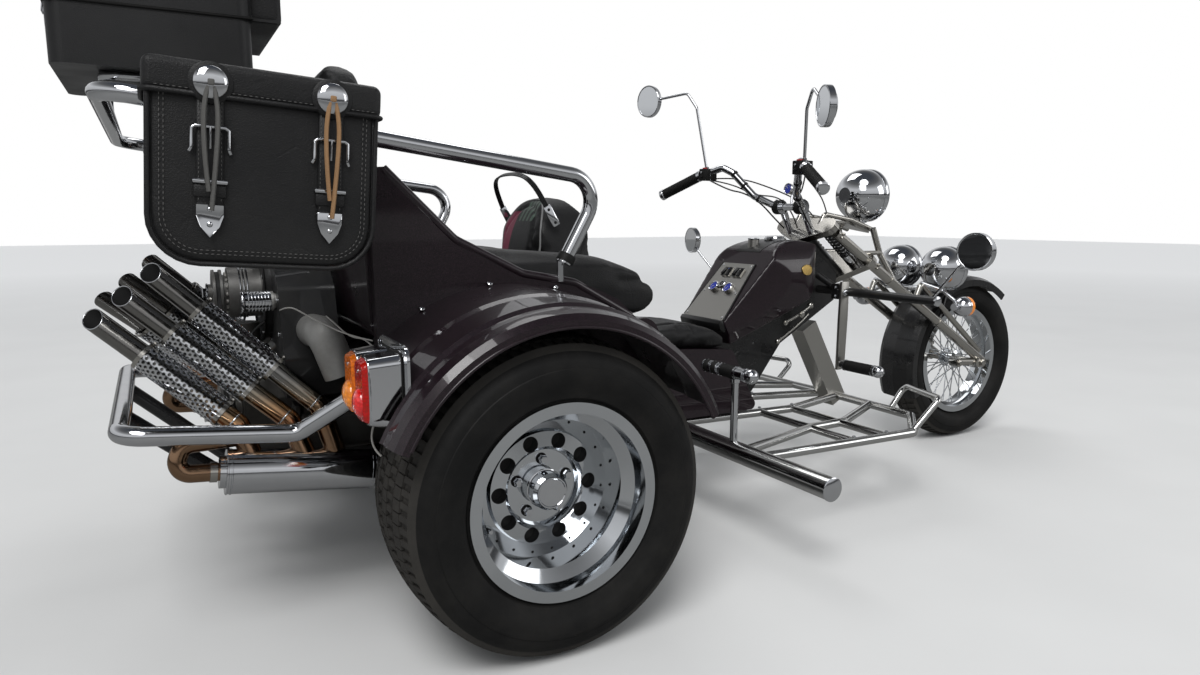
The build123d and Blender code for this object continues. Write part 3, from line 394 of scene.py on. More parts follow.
# pale floor and soft studio light
def makeStudio():
    floor = Paint("studioFloor", (0.66, 0.66, 0.655), roughness=0.9, specular=0.1)
    near = floor.blend(floor.spread(floor.noise(1.6, 3), 0.3, 0.7), (0.65, 0.65, 0.645), (0.68, 0.68, 0.675))
    x, y, z = floor.axes()
    # the floor is painted paler with distance from the bike, to near white far off: painted light that blends it into
    # the backdrop
    away = floor.spread(((x * x) + (y * y)) ** 0.5, 2.0, 14.0)
    pale = floor.blend(away, near, (0.96, 0.96, 0.96))
    # in glossy reflections the floor is painted dark grey: a painted reflection, so the chrome mirrors a darker floor
    mirrored = floor.node("ShaderNodeLightPath", out="Is Glossy Ray")
    floor.feed("Base Color", floor.blend(mirrored, pale, (0.26, 0.26, 0.255)))
    bpy.ops.mesh.primitive_plane_add(size=60, location=(0, 0, -0.0005))
    ground = bpy.context.object
    ground.name = "studioFloor"
    ground.data.materials.append(floor.material)
    world = bpy.data.worlds.new("studioWorld")
    world.use_nodes = True
    tree = world.node_tree
    tree.nodes.clear()
    kinds = {"out": "OutputWorld", "light": "Background", "seen": "Background", "mix": "MixShader",
             "path": "LightPath", "white": "Background", "backed": "MixShader", "most": "Math", "place": "TexCoord",
             "split": "SeparateXYZ", "ramp": "ValToRGB"}
    made = {key: tree.nodes.new("ShaderNode" + kind) for key, kind in kinds.items()}
    made["most"].operation = "MAXIMUM"
    made["white"].inputs[0].default_value = (1, 1, 1, 1)
    made["light"].inputs[0].default_value = (0.94, 0.97, 1.0, 1)
    made["light"].inputs[1].default_value = 0.42
    made["seen"].inputs[1].default_value = 0.72
    # grey bands that the chrome mirrors, from the floor up
    stops = made["ramp"].color_ramp.elements
    stops[0].position, stops[0].color = 0.0, (0.5, 0.5, 0.5, 1)
    stops[1].position, stops[1].color = 0.92, (0.1, 0.11, 0.13, 1)
    for at, grey in ((0.012, 0.07), (0.075, 0.12), (0.13, 0.8), (0.4, 1.0), (0.56, 0.5), (0.72, 0.2)):
        stop = stops.new(at)
        stop.color = (grey, grey * 1.01, grey * 1.03, 1)
    for source, output, target, slot in (("place", "Generated", "split", 0), ("split", 2, "ramp", 0),
                                         ("ramp", 0, "seen", 0), ("path", "Is Glossy Ray", "most", 0),
                                         ("path", "Is Transmission Ray", "most", 1), ("most", 0, "mix", 0),
                                         ("light", 0, "mix", 1), ("seen", 0, "mix", 2), ("mix", 0, "backed", 1),
                                         ("path", "Is Camera Ray", "backed", 0), ("white", 0, "backed", 2),
                                         ("backed", 0, "out", 0)):
        tree.links.new(made[source].outputs[output], made[target].inputs[slot])
    bpy.context.scene.world = world
    # name, place, size across, power
    lamps = [("softKey", (-3.0, -3.6, 4.4), 2.6, 95), ("softFill", (3.6, -3.4, 2.4), 2.2, 30),
             ("softTop", (0.4, 2.2, 4.8), 2.4, 50)]
    for name, place, size, power in lamps:
        bpy.ops.object.light_add(type="AREA", location=place)
        lamp = bpy.context.object
        lamp.name = name
        lamp.data.size = size
        lamp.data.energy = power
        lamp.rotation_euler = (Vector((0, 0, 0.6)) - Vector(place)).to_track_quat("-Z", "Y").to_euler()
    bpy.ops.object.light_add(type="SUN", location=(0, 0, 6), rotation=(math.radians(24), math.radians(-22), 0))
    sun = bpy.context.object
    sun.name = "softSun"
    sun.data.energy = 1.35
    sun.data.angle = math.radians(28)
    bpy.context.scene.view_settings.view_transform = "Standard"


makeStudio()
print("studio lit")


# small helpers for working as by hand
def pick(*pieces):
    clear()
    for piece in pieces:
        piece.select_set(True)
    bpy.context.view_layer.objects.active = pieces[0]


def clear():
    bpy.ops.object.select_all(action="DESELECT")


def everything():
    bpy.ops.mesh.select_all(action="SELECT")


def editing(piece, what="VERT"):
    pick(piece)
    bpy.ops.object.mode_set(mode="EDIT")
    bpy.ops.mesh.select_mode(type=what)


def objectMode():
    bpy.ops.object.mode_set(mode="OBJECT")


def mended(piece=None, gap=None):
    # whole mesh: near points merged, faces turned outward
    if piece:
        editing(piece)
    everything()
    if gap:
        bpy.ops.mesh.remove_doubles(threshold=gap)
    bpy.ops.mesh.normals_make_consistent(inside=False)
    objectMode()


def baked():
    # place, turn and scale of the piece in hand go into its mesh
    bpy.ops.object.transform_apply(location=True, rotation=True, scale=True)


def applied(piece, kind, **settings):
    pick(piece)
    mod = piece.modifiers.new(kind.lower(), kind)
    for key, value in settings.items():
        setattr(mod, key, value)
    bpy.ops.object.modifier_apply(modifier=mod.name)


def joined(pieces):
    pick(*pieces)
    if len(pieces) > 1:
        bpy.ops.object.join()
    return bpy.context.object


def dress(piece, name, body, material, angle):
    # final name, finish, smooth shading and the body that carries it
    pick(piece)
    baked()
    piece.name = name
    piece.data.name = name
    if material:
        piece.data.materials.clear()
        piece.data.materials.append(material)
    bpy.ops.object.shade_smooth_by_angle(angle=math.radians(angle))
    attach(piece, body)
    return piece


def dressAll(body, angle, *rows, twice=False):
    # rows of (parts, piece, finish), on one side or on both
    for parts, name, material in rows:
        piece = joined(parts)
        dress(bothSides(piece) if twice else piece, name, body, material, angle)


def spots(side, *places):
    # several places, on the side that side names
    return [spot(x, side * y, z) for x, y, z in places]


def drawn(points):
    # a run of edges, extruded point by point from one vertex
    clear()
    bpy.ops.mesh.primitive_plane_add(size=0.001, location=(0, 0, 0))
    piece = bpy.context.object
    editing(piece)
    everything()
    bpy.ops.mesh.merge(type="CENTER")
    everything()
    bpy.ops.transform.translate(value=points[0])
    for here, there in zip(points, points[1:]):
        bpy.ops.mesh.extrude_region_move(TRANSFORM_OT_translate={"value": Vector(there) - Vector(here)})
    return piece


def lathed(profile, centre, axis, steps):
    # profile of (along the axis, radius), spun about the axis through centre
    centre = Vector(centre)
    axis = Vector(axis).normalized()
    side = axis.orthogonal().normalized()
    piece = drawn([centre + axis * a + side * r for a, r in profile])
    everything()
    bpy.ops.mesh.spin(steps=steps, angle=2 * math.pi, center=centre, axis=axis)
    mended(gap=0.00002)
    return piece


def band(half, inner, outer, centre, axis, steps):
    # ring of square section, half its width to each side of centre
    return lathed([(-half, inner), (-half, outer), (half, outer), (half, inner)], centre, axis, steps)


def tube(points, dia, sides=3, kind="NURBS", closed=False):
    # round bar along a smooth line, made a mesh
    data = bpy.data.curves.new("line", "CURVE")
    data.dimensions = "3D"
    data.bevel_depth = dia / 2
    data.bevel_resolution = sides
    data.use_fill_caps = True
    data.resolution_u = 6
    spline = data.splines.new(kind)
    spline.points.add(len(points) - 1)
    for knot, point in zip(spline.points, points):
        knot.co = (*point, 1)
    if kind == "NURBS":
        spline.order_u = 3
        spline.use_endpoint_u = not closed
        spline.use_cyclic_u = closed
    piece = bpy.data.objects.new("line", data)
    bpy.context.scene.collection.objects.link(piece)
    pick(piece)
    bpy.ops.object.convert(target="MESH")
    return bpy.context.object


def fromNode(node):
    # merged copy of a CAD node's mesh, to be worked on
    piece = bpy.data.objects.new(node, nodes[node].data.copy())
    bpy.context.scene.collection.objects.link(piece)
    editing(piece)
    everything()
    bpy.ops.mesh.remove_doubles(threshold=0.00001)
    objectMode()
    return piece


def turned(piece, centre, axis, degrees, count):
    # copies round an axis, each from the one before
    carrier = bpy.data.objects.new("carrier", None)
    bpy.context.scene.collection.objects.link(carrier)
    carrier.matrix_world = (Matrix.Translation(centre) @ Matrix.Rotation(math.radians(degrees), 4, Vector(axis))
                            @ Matrix.Translation(-centre))
    bpy.context.view_layer.update()
    applied(piece, "ARRAY", count=count, use_relative_offset=False, use_constant_offset=False, use_object_offset=True,
            offset_object=carrier, use_merge_vertices=True, use_merge_vertices_cap=True, merge_threshold=0.0002)
    bpy.data.objects.remove(carrier)


# tyres: one pitch of the section is spun, its sipes sunk, and the pitch repeated round the wheel
rearTyre = {"radius": 338.0, "width": 300.0, "rim": 208.5, "rimWidth": 264.0, "pitches": 84, "ribs": 7, "groove": 6.5,
            "depth": 7.0, "tread": 0.80}
frontTyre = {"radius": 325.0, "width": 130.0, "rim": 222.0, "rimWidth": 84.0, "pitches": 72, "ribs": 3, "groove": 5.0,
             "depth": 5.0, "tread": 0.74}


def tyreProfile(t):
    half, r, rim = t["width"] / 2, t["radius"], t["rim"]
    tread = half * t["tread"]
    bulge = rim + (r - rim) * 0.45
    seat = t["rimWidth"] / 2 - 9
    crown = lambda s: r - 12 * (abs(s) / tread) ** 2
    side = [(-seat + 11, rim - 17), (-seat, rim - 17), (-seat, rim + 3), (-seat - 4, rim + 7), (-seat - 9, rim + 9),
            (-half + 7, bulge - 22), (-half + 3, bulge - 16), (-half + 2, bulge - 6), (-half, bulge),
            (-half + 1, bulge + 12), (-half + 3, bulge + 14), (-half + 4, bulge + 24), (-half + 8, bulge + 34),
            (-tread - 9, r - 26), (-tread - 3, r - 16), (-tread, r - 12)]
    ribs = []
    step = 2 * tread / t["ribs"]
    g = t["groove"] / 2
    for i in range(1, t["ribs"]):
        s = -tread + i * step
        ribs += [(s - g, crown(s)), (s - g + 1, crown(s) - t["depth"]), (s + g - 1, crown(s) - t["depth"]),
                 (s + g, crown(s))]
        if i < t["ribs"] - 1:
            ribs.append((s + step / 2, crown(s + step / 2)))
    return side + ribs + [(-s, q) for s, q in reversed(side)], tread, step


def makeTyre(t, centre, body, node):
    profile, tread, ribStep = tyreProfile(t)
    pitchAngle = 360.0 / t["pitches"]
    up = Vector((0, 0, 1))
    piece = drawn([centre + Vector((0, s / 1000, 0)) + up * (q / 1000) for s, q in profile])
    everything()
    # two narrow steps a pitch become the sipes of alternate ribs
    sipe = 0.12
    for share in (sipe, 0.5 - sipe) * 2:
        bpy.ops.mesh.spin(steps=1, angle=math.radians(pitchAngle * share), center=centre, axis=(0, 1, 0))
    objectMode()
    floor = (t["radius"] - 13.5) / 1000
    for polygon in piece.data.polygons:
        mid = polygon.center - centre
        part = abs(math.degrees(math.atan2(mid.x, mid.z))) / pitchAngle
        rib = int((mid.y * 1000 + tread) // ribStep)
        onTop = math.hypot(mid.x, mid.z) > floor and abs(mid.y * 1000) < tread
        polygon.select = onTop and (part < sipe if rib % 2 else 0.5 < part < 0.5 + sipe)
    editing(piece, "FACE")
    bpy.ops.mesh.extrude_region_move(TRANSFORM_OT_translate={"value": (0, 0, -t["depth"] * 0.75 / 1000)})
    mended()
    turned(piece, centre, (0, 1, 0), pitchAngle, t["pitches"])
    mended(piece, 0.0001)
    piece.data.materials.clear()
    piece.data.materials.append(tyreRubber)
    piece.data.materials.append(treadRubber)
    for polygon in piece.data.polygons:
        mid = polygon.center - centre
        polygon.material_index = int(math.hypot(mid.x, mid.z) * 1000 > t["radius"] - 24)
    dress(piece, "tyre" + body.title().replace("_", ""), body, None, 30)
    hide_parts(node)


for side, name in ((-1, "right"), (1, "left")):
    makeTyre(rearTyre, spot(0, side * 668, 338), "wheel_rear_" + name, "tyre_rear_" + name)
makeTyre(frontTyre, spot(2214, 0, 325), "wheel_front", "tyre_front")
print("tyres cut")

# springs of the fork
rake = math.radians(50)
downAxis = Vector((math.sin(rake), 0, -math.cos(rake)))
outAxis = Vector((math.cos(rake), 0, math.sin(rake)))
springs = {"y": 60, "out": 50, "radius": 17.5, "wire": 7.0, "turns": 9, "from": 14, "to": 158}


def onAxis(down, out, y):
    return spot(1360, y, 840) + downAxis * (down / 1000) + outAxis * (out / 1000)


def makeSprings():
    coils, rods = [], []
    for side in (-1, 1):
        y = side * springs["y"]
        points = []
        perTurn = 14
        count = springs["turns"] * perTurn
        for i in range(count + 1):
            a = 2 * math.pi * i / perTurn
            down = springs["from"] + (springs["to"] - springs["from"]) * i / count
            points.append(onAxis(down, springs["out"] + springs["radius"] * math.cos(a),
                                 y + springs["radius"] * math.sin(a)))
        coils.append(tube(points, springs["wire"] / 1000))
        foot, head = onAxis(205, springs["out"], y), onAxis(0.3, springs["out"], y)
        axis = (foot - head).normalized()
        rods.append(lathed([(0, 0), (0, 0.021), (0.004, 0.0215), (0.012, 0.0215), (0.014, 0.009), (0.146, 0.009),
                            (0.148, 0.0175), (0.151, 0.0195), (0.198, 0.0195), (0.2035, 0.015), (0.204, 0)],
                           head, axis, 32))
    coil = dress(joined(coils), "springCoils", "steering", satinBlack, 60)
    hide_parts("fork_springs")
    dress(joined(rods), "springGuides", "steering", chrome, 30)


makeSprings()
print("springs wound")


def block(low, high, bevel=0.0, segments=2):
    # box between two corners, its edges rounded
    clear()
    bpy.ops.mesh.primitive_cube_add(size=1, location=(Vector(low) + Vector(high)) / 2,
                                    scale=Vector(high) - Vector(low))
    piece = bpy.context.object
    baked()
    if bevel:
        applied(piece, "BEVEL", width=bevel, segments=segments, limit_method="ANGLE", angle_limit=math.radians(30))
    return piece


def button(place, axis, radius, height, dome=0.0, sides=24):
    # round head standing on a surface, flat or domed
    top = [(0, radius), (height - min(height, radius) * 0.25, radius), (height, radius * 0.8)]
    if dome:
        top = [(0, radius), (height, radius), (height + dome * 0.6, radius * 0.7),
               (height + dome * 0.9, radius * 0.36)]
    return lathed([*top, (height + dome, 0)], place, axis, sides)


def hexHead(place, axis, radius, height):
    # bolt head with a washer under it
    washer = lathed([(0, radius * 1.3), (height * 0.2, radius * 1.3), (height * 0.25, radius * 0.9)], place, axis, 20)
    head = lathed([(height * 0.2, radius), (height * 0.85, radius), (height, radius * 0.82), (height, 0)], place,
                  axis, 6)
    return joined([washer, head])


def copied(piece, matrix):
    twin = piece.copy()
    twin.data = piece.data.copy()
    bpy.context.scene.collection.objects.link(twin)
    twin.data.transform(matrix)
    return twin


def mirrored(piece):
    # twin on the other side of the middle plane
    twin = copied(piece, Matrix.Scale(-1, 4, (0, 1, 0)))
    editing(twin)
    everything()
    bpy.ops.mesh.flip_normals()
    objectMode()
    return twin


def bothSides(piece):
    return joined([piece, mirrored(piece)])


def pulled(outline, reach):
    # flat outline filled and pulled out sideways; it stays in edit mode
    piece = drawn([*outline, outline[0]])
    everything()
    bpy.ops.mesh.remove_doubles(threshold=0.00005)
    everything()
    bpy.ops.mesh.edge_face_add()
    bpy.ops.mesh.extrude_region_move(TRANSFORM_OT_translate={"value": (0, reach, 0)})
    return piece


# cushions: a shrunken copy is blown up as cloth inside its cover, then stitched down along its seams
cushions = {"driver_seat": ("driverSeat", 0.0065, 0.016, 3.0),
            "driver_backrest": ("driverBackrest", 0.007, 0.020, 3.0),
            "bench_cushion": ("benchCushion", 0.012, 0.022, 4.0),
            "bench_backrest": ("benchBackrest", 0.009, 0.018, 3.5)}
fabric = {"quality": 4, "mass": 0.4, "tension_stiffness": 12, "compression_stiffness": 12, "bending_stiffness": 2.5,
          "use_pressure": True}


def plump(piece, voxel, cap, pressure):
    # cap is as far as the cover lets the filling swell
    editing(piece)
    everything()
    bpy.ops.mesh.normals_make_consistent(inside=False)
    bpy.ops.transform.shrink_fatten(value=-cap * 0.45)
    objectMode()
    applied(piece, "REMESH", mode="VOXEL", voxel_size=voxel)
    applied(piece, "SMOOTH", factor=0.6, iterations=4)
    start = [v.co.copy() for v in piece.data.vertices]
    cloth = piece.modifiers.new("cloth", "CLOTH")
    for key, value in fabric.items():
        setattr(cloth.settings, key, value)
    cloth.settings.uniform_pressure_force = pressure
    cloth.settings.effector_weights.gravity = 0
    cloth.collision_settings.use_self_collision = False
    for step in range(1, 15):
        bpy.context.scene.frame_set(step)
    pick(piece)
    bpy.ops.object.modifier_apply(modifier="cloth")
    bpy.context.scene.frame_set(1)
    for vertex, before in zip(piece.data.vertices, start):
        move = vertex.co - before
        if move.length > cap:
            vertex.co = before + move.normalized() * cap
    applied(piece, "SMOOTH", factor=0.5, iterations=3)


def seam(piece, place, depth, reach):
    # vertices where place says so are drawn in, with a soft shoulder
    for vertex in piece.data.vertices:
        vertex.select = place(vertex.co)
    editing(piece)
    bpy.ops.transform.shrink_fatten(value=-depth, use_proportional_edit=True, proportional_edit_falloff="SHARP",
                                    proportional_size=reach)
    objectMode()


def makeSeams(node):
    # where each seam runs, with its depth and the reach of its shoulder
    if node == "driver_seat":
        for y in (-0.095, 0.095):
            yield lambda co, y=y: abs(co.y - y) < 0.0035 and co.z > 0.53, 0.005, 0.014
        across = spot(752, 0, 0).x
        yield lambda co: abs(co.x - across) < 0.0035 and abs(co.y) < 0.1 and co.z > 0.53, 0.004, 0.012
    if node == "driver_backrest":
        yield lambda co: abs(math.hypot(co.y, (co.z - 0.83) * 0.9) - 0.105) < 0.004 and co.z > 0.7, 0.006, 0.015
    if node == "bench_cushion":
        for y in (-0.235, 0.235):
            yield lambda co, y=y: abs(co.y - y) < 0.006 and co.z > 0.76, 0.009, 0.026
        front = spot(330, 0, 0).x
        yield lambda co: abs(co.z - 0.752) < 0.006 and co.x > front, 0.008, 0.022
    if node == "bench_backrest":
        front = spot(-290, 0, 0).x
        for z in (0.955, 1.075, 1.19):
            yield lambda co, z=z: abs(co.z - z) < 0.005 and co.x > front, 0.008, 0.026


def makeCushions():
    for node, (name, voxel, cap, pressure) in cushions.items():
        piece = fromNode(node)
        plump(piece, voxel, cap, pressure)
        for place, depth, reach in makeSeams(node):
            seam(piece, place, depth, reach)
        applied(piece, "SUBSURF", levels=1, render_levels=1)
        covering = backrestPaint() if node == "driver_backrest" else leather
        dress(piece, name, "chassis", covering, 80)
        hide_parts(node)


makeCushions()
print("cushions stitched")


# saddlebags, modelled on the right and mirrored
bag = {"x": (-694, -346), "y": (575.2, 730), "z": (830, 1138), "corner": 74, "lid": (-704, -336),
       "lidZ": (1092, 1150), "lidY": (573.4, 738), "straps": (-607, -421), "strap": 40, "face": 731}
bagMiddle = spot(-520, 0, 990)
bagTurn = (Matrix.Translation(bagMiddle) @ Matrix.Rotation(math.radians(4.0), 4, "Y")
           @ Matrix.Translation(-bagMiddle))


def bagOutline(inset, y, steps=7):
    x0, x1 = bag["x"][0] + inset, bag["x"][1] - inset
    z0, z1 = bag["z"][0] + inset, bag["z"][1]
    r = bag["corner"] - inset
    points = [(x0, z1), (x0, (z0 + z1) / 2)]
    for start, x in ((180, x0 + r), (270, x1 - r)):
        for i in range(steps + 1):
            a = math.radians(start + 90 * i / steps)
            points.append((x + r * math.cos(a), z0 + r + r * math.sin(a)))
    points += [(x1, (z0 + z1) / 2), (x1, z1)]
    return [spot(x, -y, z) for x, z in points]


def along(points, pitch):
    # evenly spaced places on a broken line, with the direction there
    found, left = [], pitch / 2
    for here, there in zip(points, points[1:]):
        run = there - here
        while left <= run.length:
            found.append((here + run.normalized() * left, run.normalized()))
            left += pitch
        left -= run.length
    return found


def stitched(points, normal, pitch=0.0085, length=0.0056, dia=0.0016):
    # row of short threads lying on a surface
    clear()
    bpy.ops.mesh.primitive_uv_sphere_add(segments=6, ring_count=4, radius=0.5, location=(0, 0, 0),
                                         scale=(length, dia, dia))
    one = bpy.context.object
    bpy.ops.object.transform_apply(scale=True)
    made = []
    for place, run in along(points, pitch):
        side = Vector(normal).cross(run).normalized()
        turn = Matrix((run, side, Vector(normal))).transposed().to_4x4()
        made.append(copied(one, Matrix.Translation(place) @ turn))
    bpy.data.objects.remove(one)
    return joined(made)


def bagShell():
    y0, y1 = bag["y"]
    outline = bagOutline(0, y0)
    body = drawn([*outline, outline[0]])
    everything()
    bpy.ops.mesh.remove_doubles(threshold=0.0001)
    everything()
    bpy.ops.mesh.extrude_region_move(TRANSFORM_OT_translate={"value": (0, -(y1 - y0) / 1000, 0)})
    everything()
    bpy.ops.mesh.edge_face_add()
    objectMode()
    for y in (y0, y1):
        editing(body, "EDGE")
        bpy.ops.mesh.select_all(action="DESELECT")
        objectMode()
        for edge in body.data.edges:
            ends = [body.data.vertices[v].co.y for v in edge.vertices]
            edge.select = all(abs(e + y / 1000) < 0.0004 for e in ends)
        editing(body, "EDGE")
        bpy.ops.mesh.edge_face_add()
        objectMode()
    mended(body, 0.0001)
    applied(body, "BEVEL", width=0.009, segments=3, limit_method="ANGLE", angle_limit=math.radians(50))
    # soft belly in the outer face
    applied(body, "REMESH", mode="VOXEL", voxel_size=0.0075)
    applied(body, "SMOOTH", factor=0.5, iterations=4)
    middle = spot(-520, -y1, 985)
    for vertex in body.data.vertices:
        vertex.select = vertex.co.y < -(y1 - 14) / 1000 and (vertex.co - middle).length < 0.05
    editing(body)
    bpy.ops.transform.translate(value=(0, -0.0035, 0), use_proportional_edit=True, proportional_edit_falloff="SMOOTH",
                                proportional_size=0.16)
    objectMode()
    parts = [body]
    # rolled welts round the outer and inner faces
    for y, dia in ((y1 - 1.5, 0.0085), (y0 + 5, 0.008)):
        parts.append(tube(bagOutline(-1.5, y), dia, sides=2, kind="POLY"))
    # the lid: crowned, its skirt standing off the body, a welt along its lower edge
    (x0, x1), (near, far), (z0, z1) = bag["lid"], bag["lidY"], bag["lidZ"]
    lid = block(spot(x0, -far, z0), spot(x1, -near, z1), 0.015, 5)
    editing(lid)
    everything()
    bpy.ops.mesh.subdivide(number_cuts=2)
    objectMode()
    applied(lid, "SMOOTH", factor=0.5, iterations=2)
    corners = ((-698, 574), (-704, 600), (-704, 726), (-692, 738), (-348, 738), (-336, 726), (-336, 600), (-342, 574))
    rim = [spot(x, -y, z0 + 4) for x, y in corners]
    parts += [lid, tube(rim, 0.009, sides=2, kind="POLY")]
    # straps with their loops, under the conchos' rosettes
    for x in bag["straps"]:
        face = bag["face"] + 3.6
        half = bag["strap"] / 2
        parts.append(block(spot(x - half, -face - 3.2, 905), spot(x + half, -face + 1, 1098), 0.0012, 1))
        parts.append(block(spot(x - half - 4, -face - 5.5, 936), spot(x + half + 4, -face + 1, 956), 0.002, 2))
        parts.append(lathed([(0, 0), (0, 0.031), (0.003, 0.033), (0.0055, 0.029), (0.006, 0)],
                            spot(x, -bag["lidY"][1] + 1, 1116), (0, -1, 0), 40))
    return joined(parts)


buckle = {"z": 1030, "wide": 27, "tall": 17, "wire": 0.0062}


def bagMetal():
    parts = []
    out = (0, -1, 0)
    for x in bag["straps"]:
        face = bag["face"] + 6.5
        centre = spot(x, -bag["lidY"][1] - 5, 1116)
        parts.append(lathed([(0, 0.0245), (0.0015, 0.0255), (0.003, 0.0245), (0.0055, 0.019), (0.0075, 0.011),
                             (0.008, 0)], centre, out, 48))
        # buckle frame with its prong, below the lid
        z, wide, tall = buckle["z"], buckle["wide"], buckle["tall"]
        frameLine = [(-wide, -tall), (-wide, tall - 4), (-wide + 5, tall), (wide - 5, tall), (wide, tall - 4),
                     (wide, -tall)]
        parts.append(tube([spot(x + a, -face - 4, z + b) for a, b in frameLine], buckle["wire"], kind="POLY"))
        for a in (-1, 1):
            parts.append(tube([spot(x + a * wide, -face - 2, z - tall),
                               spot(x + a * (wide + 3), -face, z - tall - 6)], buckle["wire"]))
        parts.append(tube(spots(1, (x, -face - 7, z + tall), (x, -face - 8, z), (x, -face - 4, z - tall)), 0.004))
        keeper = [spot(x + a, -face - b, 961) for a, b in ((-23, -4), (-23, 3), (23, 3), (23, -4))]
        parts.append(tube(keeper, 0.0075, kind="POLY"))
        # pointed tip of the strap
        tip = [(-20, 924), (20, 924), (20, 906), (14, 889), (0, 872), (-14, 889), (-20, 906)]
        plate = pulled([spot(x + a, -face + 1.2, z) for a, z in tip], -0.0042)
        bpy.ops.mesh.inset(thickness=0.0022, depth=0.0012)
        mended()
        parts.append(plate)
        for z in (917, 893):
            parts.append(button(spot(x, -face - 3, z), out, 0.0042, 0.0012, 0.002, 14))
        for z in (1064, 1086):
            parts.append(button(spot(x - 12, -face + 3.2, z), out, 0.003, 0.001, 0.0015, 12))
    return joined(parts)


def bagLaces(x):
    # two flat laces knotted in the concho and hanging to a point
    made = []
    for lean, foot in ((-1, 945), (1, 915)):
        points = [spot(x + lean * 4, -bag["lidY"][1] - 9, 1112), spot(x + lean * 9, -bag["lidY"][1] - 12, 1088),
                  spot(x + lean * 11, -bag["face"] - 20, 1050), spot(x + lean * 7, -bag["face"] - 21, 980),
                  spot(x + lean * 2, -bag["face"] - 19, foot)]
        made.append(tube(points, 0.0075, sides=1))
    knot = block(spot(x - 5, -bag["lidY"][1] - 16, 1110), spot(x + 5, -bag["lidY"][1] - 10, 1120), 0.002, 2)
    return joined([*made, knot])


def bagThreads():
    rows = []
    for inset in (15, 21):
        rows.append(stitched([p - Vector((0, 0.0014, 0)) for p in bagOutline(inset, bag["face"])], (0, -1, 0)))
    lidRow = [spot(x, -bag["lidY"][1] - 0.3, bag["lidZ"][0] + 11) for x in (-688, -352)]
    rows.append(stitched(lidRow, (0, -1, 0)))
    for x in bag["straps"]:
        for side in (-1, 1):
            a = x + side * (bag["strap"] / 2 - 3.5)
            rows.append(stitched([spot(a, -bag["face"] - 7, 1090), spot(a, -bag["face"] - 7, 930)], (0, -1, 0), 0.007,
                                 0.0045, 0.0012))
    return joined(rows)


threadGrey = plasticPaint("thread", (0.09, 0.088, 0.085), 0.8, 1400.0)
laceGrey = leatherPaint("greyLace", (0.10, 0.098, 0.093), 900.0, 0.6, 0.5)
laceTan = leatherPaint("tanLace", (0.30, 0.17, 0.08), 900.0, 0.6, 0.3)


def makeBags():
    made = [(bagShell(), "saddlebagLeather", bagLeather), (bagMetal(), "saddlebagBuckles", chrome),
            (bagThreads(), "saddlebagStitching", threadGrey),
            (bagLaces(bag["straps"][0]), "saddlebagLacesRear", laceGrey),
            (bagLaces(bag["straps"][1]), "saddlebagLacesFront", laceTan)]
    for piece, name, material in made:
        piece.data.transform(bagTurn)
        piece = dress(bothSides(piece), name, "chassis", material, 50)
        if material is bagLeather:
            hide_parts("saddlebags")


makeBags()
print("saddlebags buckled")


# rear wheels: nuts, rivets and valve
wheel = {"axle": 338, "y": 668, "nuts": 5, "nutRing": 61, "rivets": 20, "rivetRing": 148, "cap": 56}


def wheelTrim(side, name):
    out = (0, side, 0)
    metal, dark = [], []

    def onDisc(radius, turn, s):
        a = math.radians(turn)
        return spot(radius * math.cos(a), side * (wheel["y"] + s), wheel["axle"] + radius * math.sin(a))

    for i in range(wheel["nuts"]):
        turn = 90 + 360 * i / wheel["nuts"]
        # a thin near-black disc under each nut, wider than it: painted shade round the nut's foot
        dark.append(lathed([(0, 0.0125), (0.0012, 0.0125), (0.0012, 0)], onDisc(wheel["nutRing"], turn, 4.1), out,
                           24))
        metal.append(lathed([(0, 0.0098), (0.014, 0.0098), (0.017, 0.008), (0.0185, 0)],
                            onDisc(wheel["nutRing"], turn, 4.2), out, 6))
    for i in range(wheel["rivets"]):
        turn = 9 + 360 * i / wheel["rivets"]
        dark.append(button(onDisc(wheel["rivetRing"], turn, 3.4), out, 0.0031, 0.0016, 0.0012, 12))
    # hub cap: turned edge round a plain dished face
    metal.append(lathed([(0, 0.034), (0.002, 0.0345), (0.0035, 0.0335), (0.0035, 0.031), (0.002, 0.0295),
                         (0.0026, 0.015), (0.0028, 0)], onDisc(0, 0, wheel["cap"]), out, 48))
    metal.append(lathed([(0, 0.0405), (0.0, 0.0425), (0.004, 0.0425), (0.005, 0.0405)], onDisc(0, 0, 20), out, 48))
    # rolled bead inside the rim's lip, and the valve
    metal.append(lathed([(0, 0.1905), (0.002, 0.1885), (0.006, 0.1885), (0.008, 0.1905)], onDisc(0, 0, 90), out, 96))
    metal.append(lathed([(0, 0.1908), (0.0015, 0.1893), (0.004, 0.1893), (0.0055, 0.1908)], onDisc(0, 0, 104), out,
                        96))
    dark.append(tube([onDisc(163, 200, 40), onDisc(158, 200, 50), onDisc(155, 200, 66)], 0.011))
    metal.append(tube([onDisc(155, 200, 64), onDisc(154, 200, 76)], 0.0082))
    dressAll("wheel_rear_" + name.lower(), 32, (metal, "wheelNuts" + name, chrome),
             (dark, "wheelRivets" + name, softRubber))


wheelTrim(-1, "Right")
wheelTrim(1, "Left")
print("wheels trimmed")


# exhaust: perforated shields rolled from one punched cell, with a clamp at each end
pipeWork = {"stacks": ((-816, 702, -562, 468), (-760, 747, -457, 464), (-704, 794, -392, 489)), "yTop": 235,
            "yFoot": 332, "around": 18, "rows": 11, "hole": 0.0036, "radius": 0.031, "lip": 0.0218, "from": 0.122,
            "length": 0.200, "merge": 0.0003}


def stackLine(row, side):
    mx, mz, fx, fz = row
    return spot(mx, side * pipeWork["yTop"], mz), spot(fx, side * pipeWork["yFoot"], fz)


